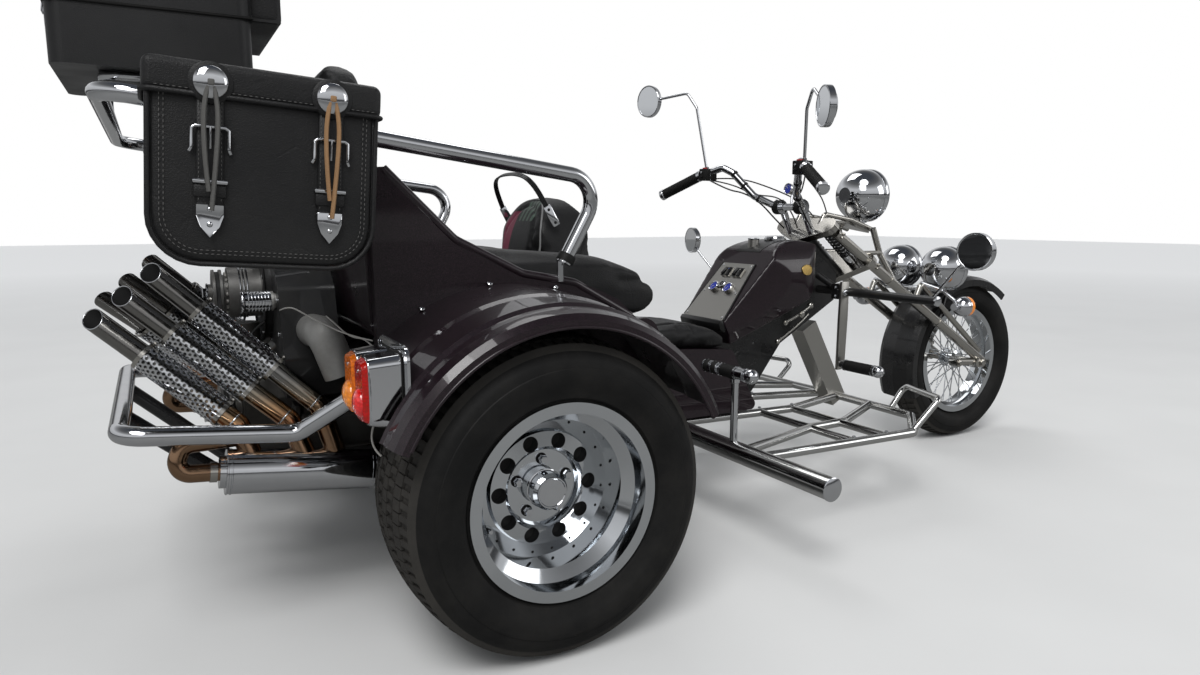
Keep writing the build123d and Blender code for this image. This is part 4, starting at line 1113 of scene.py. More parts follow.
def punchedSheet():
    w = pipeWork
    wide, tall = 2 * math.pi * w["radius"] / w["around"], w["length"] / (2 * w["rows"])
    middle = Vector((wide / 2, 0, tall / 2))
    clear()
    bpy.ops.mesh.primitive_circle_add(vertices=8, radius=w["hole"], location=middle)
    cell = bpy.context.object
    bpy.ops.object.transform_apply(location=True)
    editing(cell, "EDGE")
    everything()
    bpy.ops.transform.rotate(value=math.radians(90), orient_axis="X", center_override=middle)
    bpy.ops.mesh.extrude_edges_move()
    objectMode()
    # the outer loop is squared up to the cell's corners and mid-sides
    for vertex in cell.data.vertices:
        if vertex.select:
            d = (vertex.co - middle) / w["hole"]
            vertex.co = middle + Vector((math.copysign(round(abs(d.x) + 0.01), d.x) * wide / 2 * (abs(d.x) > 0.3), 0,
                                         math.copysign(round(abs(d.z) + 0.01), d.z) * tall / 2 * (abs(d.z) > 0.3)))
    shifted = copied(cell, Matrix.Translation((wide / 2, 0, tall)))

    def repeated(piece, count, offset):
        applied(piece, "ARRAY", count=count, use_relative_offset=False, use_constant_offset=True,
                constant_offset_displace=offset, use_merge_vertices=True, merge_threshold=w["merge"])

    repeated(cell, w["around"], (wide, 0, 0))
    repeated(shifted, w["around"], (wide, 0, 0))
    sheet = joined([cell, shifted])
    repeated(sheet, w["rows"], (0, 0, 2 * tall))
    for vertex in sheet.data.vertices:
        a = vertex.co.x / w["radius"]
        vertex.co = Vector((w["radius"] * math.cos(a), w["radius"] * math.sin(a), vertex.co.z))
    mended(sheet, w["merge"])
    applied(sheet, "SOLIDIFY", thickness=0.0014, offset=-1)
    return sheet


def slanted(mouth, run, facing, radius, depth):
    # open sleeve down the pipe's end, its upper edge cut by the mouth's plane
    clear()
    bpy.ops.mesh.primitive_cylinder_add(vertices=40, radius=radius, depth=depth, end_fill_type="NOTHING",
                                        location=mouth + run * depth / 2,
                                        rotation=run.to_track_quat("Z", "Y").to_euler())
    sleeve = bpy.context.object
    baked()
    for vertex in sleeve.data.vertices:
        arm = vertex.co - mouth
        if arm.dot(run) < depth / 2:
            vertex.co -= run * (arm.dot(facing) / run.dot(facing))
    editing(sleeve)
    everything()
    bpy.ops.mesh.flip_normals()
    objectMode()
    return sleeve


# near-black matte finish of the sleeves inside the pipe mouths: soot and painted shade
sootAndShadeBlack = plasticPaint("sootAndShadeBlack", (0.004, 0.004, 0.004), 0.9, 300.0)


def makeShields():
    w = pipeWork
    sheet = punchedSheet()
    shields, bands, lips, liners = [], [], [], []
    for side in (-1, 1):
        for row in w["stacks"]:
            mouth, foot = stackLine(row, side)
            run = (foot - mouth).normalized()
            turn = run.to_track_quat("Z", "Y").to_matrix().to_4x4()
            shields.append(copied(sheet, Matrix.Translation(mouth + run * w["from"]) @ turn))
            for d in (0.119, 0.314):
                bands.append(lathed([(0, 0.0300), (0, 0.0322), (0.0085, 0.0322), (0.0085, 0.0300)], mouth + run * d,
                                    run, 40))
                screw = run.cross(Vector((0, side, 0))).normalized() * -0.0335
                bands.append(hexHead(mouth + run * (d + 0.004) + screw, screw.normalized(), 0.004, 0.004))
            # slanted mouth: bright rim; inside, a near-black sleeve for soot and painted shade
            facing = (run * -0.77 + Vector((0, side * 0.64, 0))).normalized()
            arms = [turn @ Vector((w["lip"] * math.cos(a / 20 * math.pi), w["lip"] * math.sin(a / 20 * math.pi), 0))
                    for a in range(40)]
            rim = [mouth + arm - run * (arm.dot(facing) / run.dot(facing)) for arm in arms]
            lips.append(tube(rim, 0.0026, sides=2, closed=True))
            liners.append(slanted(mouth, run, facing, 0.0203, 0.11))
            lips.append(lathed([(0, 0.023), (0.001, 0.0242), (0.003, 0.0242), (0.004, 0.023)],
                               mouth + run * (foot - mouth).length * 0.965, run, 40))
        # collars and weld beads on the muffler
        a, b = spot(-595, side * 352, 372), spot(-283, side * 352, 335)
        run = (b - a).normalized()
        for d in (0.0, 0.008, (b - a).length - 0.012, (b - a).length - 0.004):
            lips.append(lathed([(0, 0.0478), (0.0008, 0.0494), (0.0032, 0.0494), (0.004, 0.0478)], a + run * d, run,
                               64))
        bands.append(lathed([(-0.03, 0.0195), (-0.03, 0.0218), (-0.016, 0.0218), (-0.016, 0.0195)], a, run, 36))
    bpy.data.objects.remove(sheet)
    punched = joined(shields)
    dress(punched, "punchedShields", "chassis", chrome, 40)
    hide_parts("heat_shields")
    dressAll("chassis", 35, (bands, "shieldBands", stainless))
    dressAll("chassis", 60, (lips, "pipeLips", chrome), (liners, "pipeSootAndShade", sootAndShadeBlack))


makeShields()
print("shields rolled")


# tail lamps: bulged lenses low on each block, gaskets, bezels and screws
tail = {"x": -304, "blocks": (612, 700)}


def makeTailLamps():
    back = (-1, 0, 0)
    red, amber, dark, metal = [], [], [], []
    for y, group in zip(tail["blocks"], (amber, red)):
        clear()
        bpy.ops.mesh.primitive_uv_sphere_add(segments=32, ring_count=16, radius=1,
                                             location=spot(tail["x"] - 77, -y, 570), scale=(0.0145, 0.0275, 0.0275))
        bulge = bpy.context.object
        bpy.ops.object.transform_apply(location=True, scale=True)
        group.append(bulge)
        ring = [spot(tail["x"] - 66, -y + a, 592 + b) for a, b in
                ((-37, -48), (-37, 48), (-23, 62), (23, 62), (37, 48), (37, -48), (23, -62), (-23, -62))]
        metal.append(tube(ring, 0.0046, sides=2, closed=True))
        dark.append(block(spot(tail["x"] - 9.5, -y - 43, 514), spot(tail["x"] - 5.8, -y + 43, 662), 0.001, 1))
        metal.append(button(spot(tail["x"] - 78, -y, 630), back, 0.004, 0.0015, 0.001, 14))
    for y, z in ((578, 512), (578, 664), (758, 512), (758, 664)):
        metal.append(hexHead(spot(tail["x"] - 6, -y, z), back, 0.0045, 0.004))
    for z in (676.5, 499.5):
        metal.append(tube([spot(tail["x"] - 3, -y, z) for y in (592, 744)], 0.0055))
    dressAll("chassis", 40, (red, "redLensBulges", redLens), (amber, "amberLensBulges", amberLens),
             (dark, "lampGaskets", softRubber), (metal, "lampBezels", chrome), twice=True)
    # leads from the lamp to the engine and down
    leads = [tube(spots(1, (-318, -600, 640), (-330, -560, 668), (-352, -500, 664), (-372, -440, 690),
                        (-380, -400, 700)), 0.0028, sides=2),
             tube(spots(1, (-312, -590, 520), (-330, -574, 500), (-338, -580, 448), (-322, -600, 432)), 0.0045,
                  sides=2)]
    dressAll("chassis", 60, (leads, "lampLeads", paleWire), twice=True)


paleWire = plasticPaint("paleWire", (0.32, 0.31, 0.29), 0.45, 900.0)
makeTailLamps()
print("tail lamps glazed")


# tank: edges softened, black trim, dials and switches on the panel, bare oval on each flank
tank = {"pad": (1106, 1268, 0.066), "cap": (1222, -6, 840), "clock": (1140, 12, 834.4), "oval": (1231, 200, 740)}
panel = {"face": 11.4, "lock": 140, "foot": (918, 571), "run": Vector((0.6464, 0, 0.7630)),
         "out": Vector((-0.7630, 0, 0.6464)), "dials": ((128, -38, 20), (128, 38, 20)),
         "switches": (-46, -22, 14, 38)}
dialBlue = plasticPaint("dialBlue", (0.02, 0.035, 0.30), 0.25, 900.0, 0.05)
dialWhite = plasticPaint("dialWhite", (0.62, 0.61, 0.57), 0.3, 900.0, 0.05)
blackPlastic = plasticPaint("blackPlastic", (0.006, 0.006, 0.006), 0.34, 700.0, 0.12)
redPlastic = plasticPaint("redPlastic", (0.42, 0.01, 0.01), 0.3, 700.0, 0.1)
bronze = chromePaint("bareBronze", (0.42, 0.29, 0.10), 0.2)


def onPanel(s, y, h):
    return spot(panel["foot"][0], y, panel["foot"][1]) + panel["run"] * (s / 1000) + panel["out"] * (h / 1000)


def slab(points, y0, y1, bevel):
    # flat outline in the plane of symmetry, pulled out sideways from y0 to y1
    piece = pulled([spot(x, y0, z) for x, z in points], (y1 - y0) / 1000)
    mended()
    applied(piece, "BEVEL", width=bevel, segments=2, limit_method="ANGLE", angle_limit=math.radians(30))
    return piece


def leant(piece, centre, direction, flat):
    # piece made about the origin facing +Z, squashed, then stood at centre facing direction
    turn = Vector(direction).to_track_quat("Z", "Y").to_matrix().to_4x4()
    piece.data.transform(Matrix.Translation(centre) @ turn @ Matrix.Diagonal((1, flat, 1, 1)))
    return piece


def dial(centre, out, r, metal, faces, dark):
    metal.append(lathed([(0, r), (0.002, r + 0.0008), (0.0045, r + 0.0004), (0.0055, r - 0.001), (0.0048, r - 0.0032),
                         (0.0022, r - 0.004)], centre, out, 40))
    faces.append(lathed([(0.0022, r - 0.0036), (0.0023, 0)], centre, out, 32))
    side = out.orthogonal().normalized()
    for i in range(9):
        arm = Matrix.Rotation(math.radians(-120 + 30 * i), 3, out) @ side
        dark.append(tube([centre + out * 0.0026 + arm * (r - 0.0065), centre + out * 0.0026 + arm * (r - 0.0045)],
                         0.0009, sides=1))
    arm = Matrix.Rotation(math.radians(-70), 3, out) @ side
    dark.append(tube([centre + out * 0.0032 - arm * 0.003, centre + out * 0.0032 + arm * (r - 0.007)], 0.0011,
                     sides=1))


def makeTank():
    body = fromNode("fuel_tank")
    applied(body, "REMESH", mode="VOXEL", voxel_size=0.0042)
    applied(body, "SMOOTH", factor=0.5, iterations=5)
    # strip of the crown lifted off as its black pad
    pad = copied(body, Matrix())
    x0, x1, half = tank["pad"]
    rear, front = spot(x0, 0, 0).x, spot(x1, 0, 0).x
    for polygon in pad.data.polygons:
        c = polygon.center
        polygon.select = not (abs(c.y) < half and rear < c.x < front and polygon.normal.z > 0.6)
    editing(pad, "FACE")
    bpy.ops.mesh.delete(type="FACE")
    everything()
    bpy.ops.transform.shrink_fatten(value=0.0011)
    objectMode()
    applied(pad, "SMOOTH", factor=0.5, iterations=3)
    applied(pad, "SOLIDIFY", thickness=0.0018, offset=-1)
    dress(body, "softTank", "chassis", lacquer, 70)
    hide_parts("fuel_tank")
    metal, blue, white, dark, black, ovals = [], [], [], [], [pad], []
    for s, y, r in panel["dials"]:
        dial(onPanel(s, y, panel["face"]), panel["out"], r / 1000, metal, blue, white)
    lock = onPanel(panel["lock"], 0, panel["face"])
    metal.append(lathed([(0, 0.0152), (0.0045, 0.0152), (0.006, 0.0135), (0.006, 0.0088), (0.0035, 0.0088)], lock,
                        panel["out"], 32))
    black.append(lathed([(0.0035, 0.0088), (0.0048, 0.0078), (0.005, 0)], lock, panel["out"], 28))
    slot = lock + panel["out"] * 0.0052
    metal.append(tube([slot + panel["run"] * 0.004, slot - panel["run"] * 0.004], 0.0016, sides=1))
    for i, y in enumerate(panel["switches"]):
        # bezel, with the rocker tipped in it and a small lit bar
        box = block((-0.0185, -0.010, 0), (0.0185, 0.010, 0.0012), 0.0008, 1)
        rocker = block((-0.0145, -0.0066, 0), (0.0145, 0.0066, 0.0062), 0.0022, 2)
        rocker.data.transform(Matrix.Rotation(math.radians(9 if i % 2 else -9), 4, "Y"))
        both = joined([box, rocker])
        turn = Matrix((panel["run"], Vector((0, 1, 0)), panel["out"])).transposed().to_4x4()
        both.data.transform(Matrix.Translation(onPanel(196, y, 9.2)) @ turn)
        black.append(both)
        mark = onPanel(203, y, 16.6 if i % 2 == 0 else 13.0)
        (blue if i == 2 else white).append(button(mark, panel["out"], 0.0016, 0.0006, 0.0004, 10))
    # screws at the panel's corners
    for s, y in ((14, -97), (14, 97), (226, -74), (226, 74), (112, -86), (112, 86)):
        metal.append(button(onPanel(s, y, 4.3), panel["out"], 0.0036, 0.0010, 0.0012, 16))
        black.append(tube([onPanel(s, y - 2, 6.2), onPanel(s, y + 2, 6.2)], 0.0008, sides=1))
    # lip under the panel's foot, and beads down its edges
    black.append(slab([(911, 579), (901, 566), (908, 546), (925, 534), (938, 547), (925, 571)], -112, 112, 0.004))
    for side in (-1, 1):
        black.append(tube([onPanel(6, side * 110.5, 2.5), onPanel(120, side * 97.6, 2.5),
                           onPanel(238, side * 84.5, 2.5)], 0.006, sides=2, kind="POLY"))
    # filler cap: knurled skirt and plain dome; clock with a white face behind it
    cap = spot(*tank["cap"])
    metal.append(lathed([(-0.009, 0.0335), (-0.008, 0.037), (-0.002, 0.0375), (0.0, 0.036), (0.0044, 0.0338),
                         (0.0052, 0.031), (0.0066, 0.021), (0.0072, 0.008), (0.0074, 0)], cap, (0, 0, 1), 72))
    metal.append(lathed([(-0.0076, 0.0372), (-0.0076, 0.0384), (-0.0024, 0.0384), (-0.0024, 0.0372)], cap, (0, 0, 1),
                        48))
    dial(spot(*tank["clock"]), Vector((0, 0, 1)), 0.019, metal, white, dark)
    # bare oval on each flank
    for side in (-1, 1):
        found, place, out, at = body.closest_point_on_mesh(spots(side, tank["oval"])[0])
        oval = lathed([(-0.004, 0.024), (0.0012, 0.024), (0.0022, 0.0232), (0.0022, 0.0212), (0.0012, 0.0206),
                       (0.0014, 0)], (0, 0, 0), (0, 0, 1), 48)
        ovals.append(leant(oval, place, out, 0.76))
    dressAll("chassis", 35, (metal, "tankBrightwork", chrome), (blue, "dialFaces", dialBlue),
             (white, "clockFaceAndMarks", dialWhite), (dark, "clockHands", blackPlastic),
             (black, "tankTrim", blackPlastic), (ovals, "flankOvals", bronze))


makeTank()
print("tank trimmed")


# handlebar: ribbed grips with bright ends, switch boxes, clamps, bullet gauge, mirror glasses, cables
hands = {"in": (1098, 278, 1062), "out": (1032, 421, 996), "clampY": 55,
         "mirrors": {-1: (1004, 462, 1222), 1: (1004, 472, 1346)}, "tall": 1.16, "gauge": (1284, 6, 1012)}


def ribbed(length, r, rise, pitch, inset=0.004):
    profile = [(0, r - inset / 4), (0.001, r)]
    a = pitch
    while a < length - pitch:
        profile += [(a, r), (a + pitch * 0.2, r + rise), (a + pitch * 0.6, r + rise), (a + pitch * 0.8, r)]
        a += pitch
    return [*profile, (length - 0.001, r), (length, r - inset / 4)]


def makeHands():
    black, metal, red, cables, faces, marks, glass = [], [], [], [], [], [], []
    for side in (-1, 1):
        a, b = spots(side, hands["in"], hands["out"])
        run = (b - a).normalized()
        black.append(lathed(ribbed((b - a).length - 0.012, 0.0174, 0.0012, 0.0062), a + run * 0.006, run, 40))
        metal.append(lathed([(-0.006, 0.0160), (-0.006, 0.0196), (0.006, 0.0196), (0.008, 0.0178)], a, run, 40))
        metal.append(lathed([(-0.008, 0.0178), (-0.006, 0.0196), (0.006, 0.0196), (0.009, 0.016), (0.0105, 0.008),
                             (0.011, 0)], b, run, 40))
        # switch box in two halves, its button and slide
        black.append(block(spot(1083.6, side * 230.6, 1044.6), spot(1112, side * 263.4, 1087.4), 0.0028, 2))
        black.append(block(spot(1113, side * 230.6, 1044.6), spot(1141.4, side * 263.4, 1087.4), 0.0028, 2))
        red.append(button(spot(1098, side * 247, 1087), (0, 0, 1), 0.0085, 0.004, 0.001, 20))
        black.append(block(spot(1079, side * 240, 1056), spot(1084, side * 254, 1062), 0.001, 1))
        metal.append(button(spot(1083.2, side * 247, 1074), (-1, 0, 0), 0.004, 0.0022, 0.001, 14))
        # mirror clamp with its lock nut
        metal.append(hexHead(spot(1112, side * 255, 1087), (0, 0, 1), 0.0085, 0.008))
        # bar clamps
        y = side * hands["clampY"]
        black.append(lathed([(-0.0155, 0.0235), (-0.0145, 0.0255), (0.0145, 0.0255), (0.0155, 0.0235)],
                            spot(1291, y, 947), (0, 1, 0), 36))
        for dx in (-14, 14):
            metal.append(button(spot(1291 + dx, y, 968), (0, 0, 1), 0.0042, 0.006, 0.0005, 14))
        # cables down to the head, and clips on the bar
        cables.append(tube(spots(side, (1112, 236, 1046), (1160, 190, 1010), (1196, 140, 1000), (1240, 96, 962),
                                 (1292, 82, 908), (1330, 70, 872)), 0.0055, sides=2))
        cables.append(tube(spots(side, (1128, 244, 1046), (1180, 186, 1032), (1226, 122, 990), (1280, 40, 985),
                                 (1330, 22, 920), (1352, 24, 872)), 0.0048, sides=2))
        cables.append(tube(spots(side, (1138, 240, 1052), (1196, 176, 1056), (1290, 110, 1020), (1400, 56, 968),
                                 (1440, 34, 912)), 0.0048, sides=2))
        for x, y, z in ((1171, 166, 1066), (1196, 138, 1025), (1232, 100, 978)):
            black.append(band(0.004, 0.0128, 0.0142, spot(x, side * y, z),
                                Vector((-50, side * 60, 83 if y > 130 else 40)), 24))
        # glass and rim of the mirror on the bar
        x, y, z = hands["mirrors"][side]
        look = Vector((-0.93, -side * 0.36, 0)).normalized()
        centre = spot(x, side * y, z) + look * 0.0182
        for profile, group in (([(0, 0.0462), (0.0008, 0.0462), (0.0009, 0)], glass),
                               ([(-0.018, 0.0502), (-0.012, 0.0506), (0.001, 0.0504), (0.0022, 0.0484),
                                 (0.0014, 0.0462), (0.0, 0.0458)], metal)):
            piece = lathed(profile, centre, look, 56)
            for vertex in piece.data.vertices:
                vertex.co.z = z / 1000 + (vertex.co.z - z / 1000) * hands["tall"]
            group.append(piece)
        metal.append(lathed([(0, 0.0505), (0.006, 0.044), (0.010, 0.030), (0.012, 0.012), (0.0125, 0)],
                            spot(x, side * y, z), -look, 48))
    # bullet gauge standing on the clamps
    face = spot(*hands["gauge"])
    ahead = Vector((0.985, 0, -0.17)).normalized()
    metal.append(lathed([(0, 0.0165), (-0.003, 0.0185), (0.003, 0.0192), (0.008, 0.018), (0.03, 0.0178),
                         (0.046, 0.0145), (0.055, 0.008), (0.058, 0)], face, ahead, 40))
    faces.append(lathed([(0.001, 0.0168), (0.0012, 0)], face, ahead, 32))
    metal.append(tube([face + ahead * 0.02 - Vector((0, 0, 0.014)), spot(1300, 2, 976), spot(1296, 0, 952)], 0.009))
    for i in range(7):
        arm = Matrix.Rotation(math.radians(-90 + 30 * i), 3, ahead) @ Vector((0, 0, 1))
        marks.append(tube([face - ahead * 0.0006 + arm * 0.0105, face - ahead * 0.0006 + arm * 0.0135], 0.0009,
                          sides=1))
    marks.append(tube([face - ahead * 0.001, face - ahead * 0.001 + Vector((0, 0.006, 0.009))], 0.001, sides=1))
    dressAll("steering", 40, (black, "gripsAndSwitches", softRubber), (metal, "barBrightwork", chrome),
             (red, "stopButtons", redPlastic), (cables, "controlCables", blackPlastic),
             (faces, "bulletDial", dialBlue), (marks, "bulletMarks", dialWhite), (glass, "mirrorGlasses", mirror))


makeHands()
print("handlebar fitted")


# foot pegs: rubber sleeves, collars and ball ends; silver straps of the highway bar
def ball(place, r):
    clear()
    bpy.ops.mesh.primitive_uv_sphere_add(segments=32, ring_count=18, radius=r, location=place)
    piece = bpy.context.object
    bpy.ops.object.transform_apply(location=True)
    return piece


def makePegs():
    black, metal, silver = [], [], []
    out = (0, 1, 0)
    for y0, y1 in ((262, 284), (298, 320), (340, 400)):
        black.append(lathed(ribbed((y1 - y0) / 1000, 0.0184, 0.0011, 0.005), spot(745, y0, 468), out, 36))
    for y in (259, 287, 295, 323, 337, 403, 407, 443):
        metal.append(band(0.0014, 0.0165, 0.0196, spot(745, y, 468), out, 36))
    metal += [ball(spot(745, 466, 468), 0.0214), ball(spot(1376, 356, 404), 0.0205)]
    metal.append(lathed([(0, 0.0125), (0.002, 0.0145), (0.012, 0.0145), (0.014, 0.0125)], spot(745, 395, 438),
                        (0, 0, 1), 32))
    black.append(lathed(ribbed(0.120, 0.0173, 0.0014, 0.0072), spot(1376, 216, 404), out, 36))
    for y in (213, 338):
        metal.append(band(0.002, 0.0172, 0.0196, spot(1376, y, 404), out, 36))
    silver.append(slab([(1364.8, 691.4), (1399.2, 691.4), (1399.2, 566), (1393.2, 384.6), (1358.8, 384.6),
                        (1360.8, 566)], 180.8, 191.4, 0.0012))
    for x, z in ((1382, 655), (1376, 404)):
        metal.append(hexHead(spot(x, 191.4, z), out, 0.009, 0.007))
    for z in (670, 640):
        metal.append(hexHead(spot(1425, 149, z), (1, 0, 0), 0.0055, 0.005))
        metal.append(hexHead(spot(1375.8, 149, z), (-1, 0, 0), 0.0055, 0.005))
    metal.append(lathed([(-0.004, 0.0142), (-0.004, 0.0156), (0.001, 0.0156), (0.003, 0.012), (0.0035, 0)],
                        spot(1400, 552, 655), out, 32))
    dressAll("chassis", 38, (black, "pegRubbers", softRubber), (metal, "pegBrightwork", chrome),
             (silver, "pegStraps", silverLeg), twice=True)


makePegs()
print("pegs sleeved")


# lamps: rims, fluted glasses, amber flashers; glasses of the low mirrors
def glassPaint():
    p = Paint("flutedGlass", (0.5, 0.52, 0.54), metallic=0.6, roughness=0.1, coat=1.0)
    x, y, z = p.axes()
    flute = p.node("ShaderNodeMath", {"operation": "SINE"}, {0: y * 900.0})
    cross = p.node("ShaderNodeMath", {"operation": "SINE"}, {0: z * 260.0})
    # light and dark stripes along the flutes are painted into the colour: a painted reflection of the light the
    # fluting bends
    p.feed("Base Color", p.blend(p.spread(flute + cross * 0.5, -1.2, 1.2), (0.24, 0.25, 0.27), (0.68, 0.70, 0.72)))
    p.feed("Roughness", p.spread(p.noise(40, 3), 0.3, 0.7, 0.06, 0.16))
    p.feed("Normal", p.bump(flute + cross * 0.4, 0.3, 0.001))
    return p.material


lampGlass = glassPaint()
lamps = {"head": (1667, 0, 992, 94.5, 12), "side": (2013, 104, 713, 84, 10), "flash": (1950, 240, 580, 36, 9)}
lowMirror = (1378, 693, 813)


def domed(r, dome):
    return [(0.0163 + dome * (1 - q * q), r * q) for q in (0.95, 0.84, 0.7, 0.52, 0.34, 0.16, 0)]


def makeLamps():
    metal, glass, amber, low, shells = [], [], [], [], []
    for key, (x, y, z, r, dome) in lamps.items():
        place, r, dome = spot(x, y, z), r / 1000, dome / 1000
        face = [(0.0155, r * 0.97), *domed(r, dome + 0.0006)]
        edge = [(-0.003, r - 0.0004), (-0.003, r + 0.0012), (0.002, r + 0.0030), (0.0135, r + 0.0030),
                (0.0178, r + 0.0010), (0.0190, r * 0.955), (0.0168, r * 0.93)]
        if key == "flash":
            face = [(0.0, r - 0.001), (0.0, r + 0.0005), (0.0155, r + 0.0005), *domed(r, dome + 0.003)]
            edge = [(-0.007, r - 0.0024), (-0.006, r + 0.0002), (-0.0006, r + 0.0016), (0.0006, r)]
        lens, rim = lathed(face, place, (1, 0, 0), 56), lathed(edge, place, (1, 0, 0), 72)
        made = [(lens, amber if key == "flash" else glass), (rim, metal)]
        if key != "flash":
            made.append((hexHead(place + Vector((0.004, 0, -r - 0.0026)), (0, 0, -1), 0.0042, 0.004), metal))
        for piece, group in made:
            group.append(piece if y == 0 else bothSides(piece))
    for side in (-1, 1):
        look = Vector((-1, side * 0.15, 0)).normalized()
        back, = spots(side, lowMirror)
        centre = back + look * 0.0182
        low.append(lathed([(0, 0.0492), (0.0008, 0.0492), (0.0009, 0)], centre, look, 48))
        shells.append(lathed([(-0.012, 0.0541), (0.0008, 0.0545), (0.0022, 0.0525), (0.0014, 0.0495), (0, 0.0485)],
                             centre, look, 56))
        shells.append(lathed([(0, 0.0542), (0.007, 0.047), (0.011, 0.032), (0.013, 0.012), (0.0135, 0)],
                             back, -look, 48))
    dressAll("chassis", 40, (shells, "lowMirrorShells", chrome))
    dressAll("steering", 40, (metal, "lampRims", chrome), (glass, "lampGlasses", lampGlass),
             (amber, "flasherLenses", amberLens))
    dressAll("chassis", 40, (low, "lowMirrorGlasses", mirror))


makeLamps()
print("lamps glazed")


# engine: duct seams, breather ribs, alternator and pulley nuts, shroud bolts, leads, hoses and wires
engine = {"shaft": 726, "pulleys": ((726, 0.024, -586), (420, 0.032, -590)), "breather": (-520, -168, 716),
          "hook": (-384, 238, 650)}


def makeEngine():
    duct, metal, black, wires, dark = [], [], [], [], []
    back = (-1, 0, 0)
    bend = spots(1, (-384, 244, 650), (-381, 285, 652), (-377, 322, 652), (-371, 343, 637), (-363, 349, 612),
                 (-354, 352, 588))
    for here, there in zip(bend[::2], bend[1::2]):
        duct.append(lathed([(-0.004, 0.0378), (-0.003, 0.0392), (0.003, 0.0392), (0.004, 0.0378)], here, there - here,
                           48))
    metal += [band(0.006, 0.0381, 0.0397, spot(*engine["hook"]), (0, 1, 0), 48),
              hexHead(spot(-426, 238, 650), back, 0.0045, 0.005)]
    # ribbed breather with its bright cap
    metal.append(lathed(ribbed(0.058, 0.0232, 0.0013, 0.0072), spot(*engine["breather"]), (1, 0, 0), 40))
    metal.append(lathed([(0, 0.0236), (0.002, 0.0252), (0.005, 0.0252), (0.0075, 0.0235), (0.0085, 0.013),
                         (0.007, 0.009), (0.0072, 0)], spot(*engine["breather"]), back, 48))
    # tin screws round the shroud and its seam
    for y, z in ((-205, 640), (-212, 720), (-190, 800), (-120, 845), (0, 862), (120, 845), (190, 800), (212, 720),
                 (205, 640), (-60, 610), (60, 610)):
        metal.append(button(spot(-452.2, y, z), back, 0.0052, 0.0022, 0.0016, 16))

    def onRing(x, r, a):
        # place on a ring about the alternator's shaft, a in degrees
        a = math.radians(a)
        return spot(x, r * math.cos(a), engine["shaft"] + r * math.sin(a))

    black.append(tube([onRing(-469, 124, 15 * i) for i in range(24)], 0.006, sides=2, closed=True))
    for i in range(8):
        metal.append(hexHead(onRing(-468.3, 110, 45 * i + 22.5), back, 0.005, 0.004))
    # alternator: vents round its end, ribs of its strap; washer and nut on both pulleys
    for i in range(16):
        place = onRing(-548, 46, 22.5 * i)
        dark.append(tube([place, place + Vector((0.0045, 0, 0))], 0.009, sides=2))
    strap = [onRing(-508, 62.8, 15 * i) for i in range(25)]
    for dx in (-8, 0, 8):
        metal.append(tube([p + Vector((dx / 1000, 0, 0)) for p in strap], 0.0045, sides=2, closed=True))
    for z, r, x in engine["pulleys"]:
        metal.append(lathed([(0, r), (0.003, r), (0.004, r * 0.8)], spot(x, 0, z), back, 36))
        metal.append(lathed([(0, 0.013), (0.009, 0.013), (0.011, 0.011), (0.011, 0)], spot(-588, 0, z), back, 6))
    # plug leads into the banks, hoses across the case
    for side in (-1, 1):
        for x, reach in ((-300, 352), (-398, 356)):
            wires.append(tube(spots(side, (x, 120, 560), (x - 12, 190, 560), (x - 6, 262, 520), (x, 300, 470),
                                    (x, reach, 452)), 0.0078))
        black.append(tube(spots(side, (-470, 96, 600), (-500, 140, 560), (-508, 180, 500), (-486, 214, 450)), 0.016))
        # pale wire over the shroud to the lamp
        dark.append(tube(spots(side, (-452, 236, 700), (-440, 290, 716), (-420, 380, 704), (-392, 450, 688),
                               (-360, 520, 672), (-322, 566, 664)), 0.0032, sides=2))
    wires.append(tube(spots(1, (-470, 20, 600), (-496, 60, 628), (-500, 130, 640), (-474, 176, 668),
                            (-456, 190, 720)), 0.006, sides=2))
    wires.append(tube(spots(1, (-470, -24, 590), (-500, -70, 612), (-506, -128, 640), (-476, -160, 668)), 0.006,
                      sides=2))
    dressAll("chassis", 40, (duct, "ductSeams", ductAlloy), (metal, "engineBrightwork", chrome),
             (black, "engineHoses", softRubber), (wires, "plugLeads", blackPlastic), (dark, "engineWires", paleWire))


makeEngine()
print("engine wired")


# top case: seal, latches, lock and back pad
topCase = {"x": (-850, -476), "half": 250, "seam": 1326.0}


